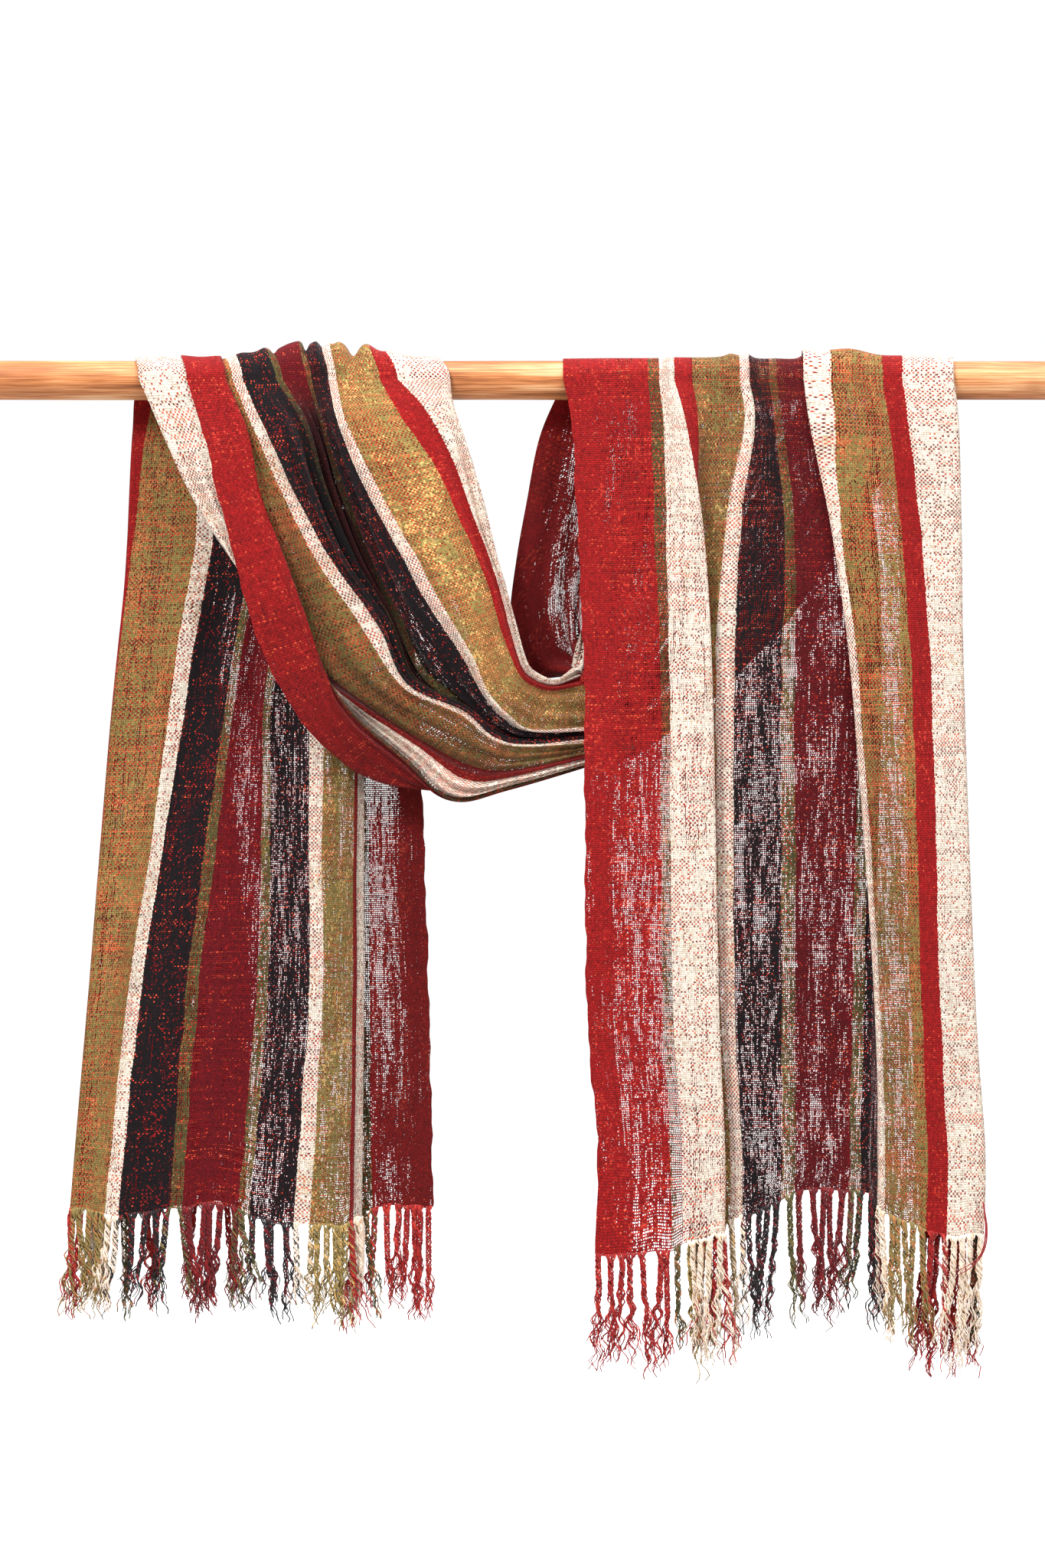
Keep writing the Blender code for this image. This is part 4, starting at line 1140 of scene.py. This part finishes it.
def makeFringe(name, hem, across, hemMark, markStep, drop, seed, material, loops=()):
    # Each yarn starts in the hem, is drawn to the middle of its tassel and winds round it as a
    # helix. Lower down the tassel parts into plies that fan out in growing waves. loops: place
    # across and path of single yarns.
    dice = np.random.default_rng(seed)
    order = np.argsort(across)
    starts = np.array([row.start for row in stripes])
    threads = np.array([row.threads for row in stripes])
    count = int(clothWidth // fringe["spacing"])
    shift = dice.uniform(-fringe["spacingChance"], fringe["spacingChance"], count)
    centres = (np.arange(count) + 0.5) * clothWidth / count + shift
    owner = np.repeat(np.arange(count), threads[np.searchsorted(starts, centres, "right") - 1])
    number = len(owner)
    plies = count * fringe["plies"]
    ply = owner * fringe["plies"] + np.arange(number) % fringe["plies"]

    def perTassel(low, high):
        return dice.uniform(low, high, count)[owner][:, None]

    def perPly(low, high):
        # One for X and one for Y.
        return dice.uniform(low, high, (2, plies, 1))[:, ply]

    def onHem(places):
        sides = [np.interp(places, across[order], hem[order, axis]) for axis in range(3)]
        return np.stack(sides, axis=-1)

    roots = centres[owner] + dice.uniform(-1, 1, number) * fringe["rootSpread"]
    roots = np.clip(roots, 1, clothWidth - 1)
    root = onHem(roots)
    neck = onHem(centres)[owner]
    length = drop * (1 + perTassel(-fringe["dropChance"], fringe["dropChance"]))
    length = length * dice.uniform(*fringe["lengths"], (number, 1))
    share = np.linspace(0, 1, fringe["points"])[None, :]
    fallen = share * length
    drawn = eased(fallen / fringe["gather"])
    twistEnd = perTassel(*fringe["twistEnd"])
    loose = np.clip((fallen - twistEnd) / (length - twistEnd), 0, 1)
    parted = np.minimum(1, 2 * loose)
    angle = dice.uniform(0, 2 * np.pi, (number, 1)) + fallen * fringe["twistTurn"]
    lean = perTassel(-1, 1) * fringe["sway"] * share ** 1.5
    fan = dice.normal(0, fringe["fan"], (2, plies, 1))[:, ply] * loose ** 1.1
    fan = fan + dice.normal(0, fringe["stray"], (2, number, 1)) * loose ** 3
    curl = perPly(*fringe["curl"]) * parted
    wave = 2 * np.pi * fallen / perPly(*fringe["curlLength"])
    wave = np.sin(wave + perPly(0, 2 * np.pi))
    wind = fringe["twistRadius"] + (fringe["plyRadius"] - fringe["twistRadius"]) * parted
    x = neck[:, :1] + wind * np.cos(angle) + lean + fan[0] + curl[0] * wave[0]
    y = neck[:, 1:2] + wind * np.sin(angle) + fringe["flatness"] * (fan[1] + curl[1] * wave[1])
    x = root[:, :1] * (1 - drawn) + x * drawn
    y = root[:, 1:2] * (1 - drawn) + y * drawn
    z = root[:, 2:] * (1 - drawn) + neck[:, 2:] * drawn + fringe["rootRise"] - fallen
    paths = np.stack([x, y, z], axis=-1)
    radii = fringe["yarnRadius"] + (fringe["tipRadius"] - fringe["yarnRadius"]) * share
    radii = radii * dice.uniform(*fringe["thickness"], (number, 1))
    spots = [np.broadcast_to(roots[:, None], x.shape), hemMark + markStep * fallen]
    spots = np.stack(spots, axis=-1)
    for place, points in loops:
        parts = [(fringe["points"] - 1) // (len(points) - 1)] * (len(points) - 1)
        paths = np.concatenate([paths, curveThrough(np.array([points], dtype=float), parts)])
        radii = np.concatenate([radii, np.full((1, fringe["points"]), fringe["yarnRadius"])])
        spots = np.concatenate([spots, np.full((1, fringe["points"], 2), (place, hemMark))])
    points, faces, flatPlaces = tubes(paths, radii, spots)
    piece = meshPiece(name, points, faces, material, flatPlaces)
    return piece


yarnMaterial = fringeMaterial()
leftFringe = makeFringe(
    "leftFringe", leftGrid[:, -1], leftAcross, leftMarks[-1],
    markStep=-1, drop=80.0, seed=5, material=yarnMaterial,
)
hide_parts("left_fringe")
# Two red yarns hang in a loop from the right selvedge.
looseYarns = (
    (430, (
        (373, -31, -668), (376, -34, -690), (373, -36, -708), (361, -37, -722),
        (346, -37, -727), (335, -35, -716),
    )),
    (432, (
        (374, -30, -670), (375, -33, -692), (371, -35, -710), (359, -36, -720),
        (345, -36, -724), (334, -34, -713),
    )),
)
rightFringe = makeFringe(
    "rightFringe", rightGrid[:, -1], rightAcross, rightMarks[-1],
    markStep=1, drop=98.0, seed=11, material=yarnMaterial, loops=looseYarns,
)
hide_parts("right_fringe")
print("fringes made")


# Pole

poleSize = {
    "length": 960.0,
    "sides": 72,
    "sections": 200,
    "edge": 1.6,           # rounding of its ends
    "edgeSteps": 4,
    "endFill": 0.98,       # share of the radius that the rings on the end faces take up
    "unevenness": 0.35,
}


def makePole():
    # A circle carried along X, with rounded edges and closed ends. Its radius varies a little by
    # sines of X and of the angle.
    half, edge = poleSize["length"] / 2, poleSize["edge"]
    turn = np.linspace(0, np.pi / 2, poleSize["edgeSteps"] + 1)[:-1]
    inward, lowered = edge * (1 - np.cos(turn)), edge * (1 - np.sin(turn))
    inner = np.linspace(-half, half, poleSize["sections"])[1:-1]
    x = np.concatenate([[-half], inward - half, inner, half - inward[::-1], [half]])[:, None]
    end = [poleRadius * poleSize["endFill"]]
    inset = np.concatenate([end, lowered, np.zeros(len(inner)), lowered[::-1], end])[:, None]
    angle = np.linspace(0, 2 * np.pi, poleSize["sides"], endpoint=False)
    lumps = np.clip(0.5 + ripples(x, ((0.3, 71, 2 * angle), (0.2, 33, 3 * angle))), 0, 1)
    radius = np.maximum(poleRadius - inset - poleSize["unevenness"] * lumps, 0.2)
    points = np.stack([
        np.broadcast_to(x, radius.shape), radius * np.cos(angle), radius * np.sin(angle),
    ], axis=-1)
    rings, sides = radius.shape
    ring = np.arange(sides)
    starts = np.arange(rings - 1)[:, None] * sides
    a, b = (starts + ring).ravel(), (starts + (ring + 1) % sides).ravel()
    walls = np.stack([a + sides, b + sides, b, a], axis=1)
    caps = [ring[None, :], (ring + (rings - 1) * sides)[None, ::-1]]
    return points.reshape(-1, 3), [walls, *caps]


wood = {
    # Noise: scale along and across the pole, shift and detail.
    "broad": (6, 90, 0.0, 3.0),
    "fine": (22, 900, 4.0, 3.0),
    "blotches": (14, 25, 9.0, 2.0),
    "shares": (0.55, 0.45),
    "colours": ((0.34, (112, 54, 22)), (0.50, (214, 136, 80)), (0.66, (250, 202, 152))),
    "blotchRange": (0.50, 0.72),
    "blotchShare": 0.5,
    "blotchColour": (158, 86, 42),
    "distortion": 0.4,
    "shader": {"Roughness": 0.5, "Specular IOR Level": 0.4},
    "relief": 0.4,
    "bump": 0.5,
}


def poleMaterial():
    # Long grain along the pole: noise that is stretched along X, and darker blotches.
    material, tree, shader = newMaterial("poleWood", wood["shader"])
    add, _, times, _ = mathNodes(tree)
    place = addNode(tree, "ShaderNodeTexCoord").outputs["Object"]
    flat = addNode(tree, "ShaderNodeSeparateXYZ", {0: place})

    def grain(alongScale, acrossScale, shift, detail):
        stretched = addNode(tree, "ShaderNodeCombineXYZ", {
            "X": calc(tree, "MULTIPLY_ADD", flat.outputs["X"], alongScale, shift),
            "Y": times(flat.outputs["Y"], acrossScale),
            "Z": times(flat.outputs["Z"], acrossScale),
        })
        noise = addNode(tree, "ShaderNodeTexNoise", {
            "Scale": 1.0, "Detail": detail, "Distortion": wood["distortion"],
        })
        tree.links.new(stretched.outputs[0], noise.inputs["Vector"])
        return noise.outputs["Fac"]

    broad, fine, blotches = (grain(*wood[kind]) for kind in ("broad", "fine", "blotches"))
    mixed = add(times(broad, wood["shares"][0]), times(fine, wood["shares"][1]))
    colour = colourRamp(tree, mixed, wood["colours"])
    shade = times(stepBetween(tree, blotches, *wood["blotchRange"]), wood["blotchShare"])
    colour = blendColour(tree, shade, colour, linearColour(*wood["blotchColour"]))
    addSurface(tree, shader, colour, fine, wood)
    return material


polePoints, poleFaces = makePole()
pole = meshPiece("woodPole", polePoints, poleFaces, poleMaterial())
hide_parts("pole")
print("pole made")


# Stage

view = {
    "middle": (0.0, 0.0, -0.3294),
    "distance": 4.2,
    "height": 1.28,        # metres of the object's plane that the photo's height takes in
    "floor": -0.95,
    "floorHalf": 14.0,
    "floorGlow": 0.9,      # keeps the pale floor as bright as the white room behind it
    "roomLight": 0.26,     # how bright the white room lights the cloth
    "roomGlow": 1.02,      # how bright it looks itself
    "sensor": 36.0,
    # Square lamps: name, place, size and power.
    "lamps": (
        ("keyLight", (-2.0, -2.2, 2.3), 1.1, 165.0),
        ("fillLight", (2.4, -2.2, 0.2), 1.8, 45.0),
        ("topLight", (0.2, -0.3, 2.0), 1.2, 60.0),
        ("backLight", (1.4, 3.0, 1.4), 1.8, 70.0),
    ),
}


def makeStage():
    # A pale floor that glows to the camera only.
    half = view["floorHalf"]
    mesh = bpy.data.meshes.new("floor")
    corners = [(-half, -half), (half, -half), (half, half), (-half, half)]
    mesh.from_pydata([(x, y, view["floor"]) for x, y in corners], [], [(0, 1, 2, 3)])
    material, tree, shader = newMaterial("floorPaper", {
        "Roughness": 0.9,
        "Base Color": (0.5, 0.5, 0.5, 1.0),
        "Emission Color": (*[view["floorGlow"]] * 3, 1.0),
    })
    seen = addNode(tree, "ShaderNodeLightPath").outputs["Is Camera Ray"]
    plug(tree, seen, shader.inputs["Emission Strength"])
    mesh.materials.append(material)
    floor = addObject("floor", mesh)


def addLight(name, place, size, power):
    # Turned so that its face looks at the middle of the view.
    lamp = bpy.data.lights.new(name, "AREA")
    lamp.shape = "SQUARE"
    lamp.size = size
    lamp.energy = power
    light = addObject(name, lamp)
    light.location = place
    aim = np.array(view["middle"]) - np.array(place)
    tilt, turn = math.atan2(np.hypot(aim[0], aim[1]), -aim[2]), math.atan2(-aim[0], aim[1])
    light.rotation_euler = (tilt, 0, turn)


def makeView():
    # The room's strength is roomGlow to the camera and roomLight to everything else.
    world = bpy.data.worlds.new("studio")
    world.use_nodes = True
    tree = world.node_tree
    room = tree.nodes["Background"]
    room.inputs["Color"].default_value = (1.0, 1.0, 1.0, 1.0)
    seen = addNode(tree, "ShaderNodeLightPath").outputs["Is Camera Ray"]
    glow = view["roomGlow"] - view["roomLight"]
    strength = calc(tree, "MULTIPLY_ADD", seen, glow, view["roomLight"])
    plug(tree, strength, room.inputs["Strength"])
    bpy.context.scene.world = world
    bpy.context.scene.view_settings.view_transform = "Standard"
    for lamp in view["lamps"]:
        addLight(*lamp)
    lens = bpy.data.cameras.new("photoCamera")
    lens.sensor_fit = "VERTICAL"
    lens.sensor_height = view["sensor"]
    lens.lens = view["sensor"] * view["distance"] / view["height"]
    camera = addObject("photoCamera", lens)
    x, y, z = view["middle"]
    camera.location = (x, y - view["distance"], z)
    camera.rotation_euler = (math.pi / 2, 0, 0)
    bpy.context.scene.camera = camera


makeStage()
makeView()
print("stage, lights and camera made")
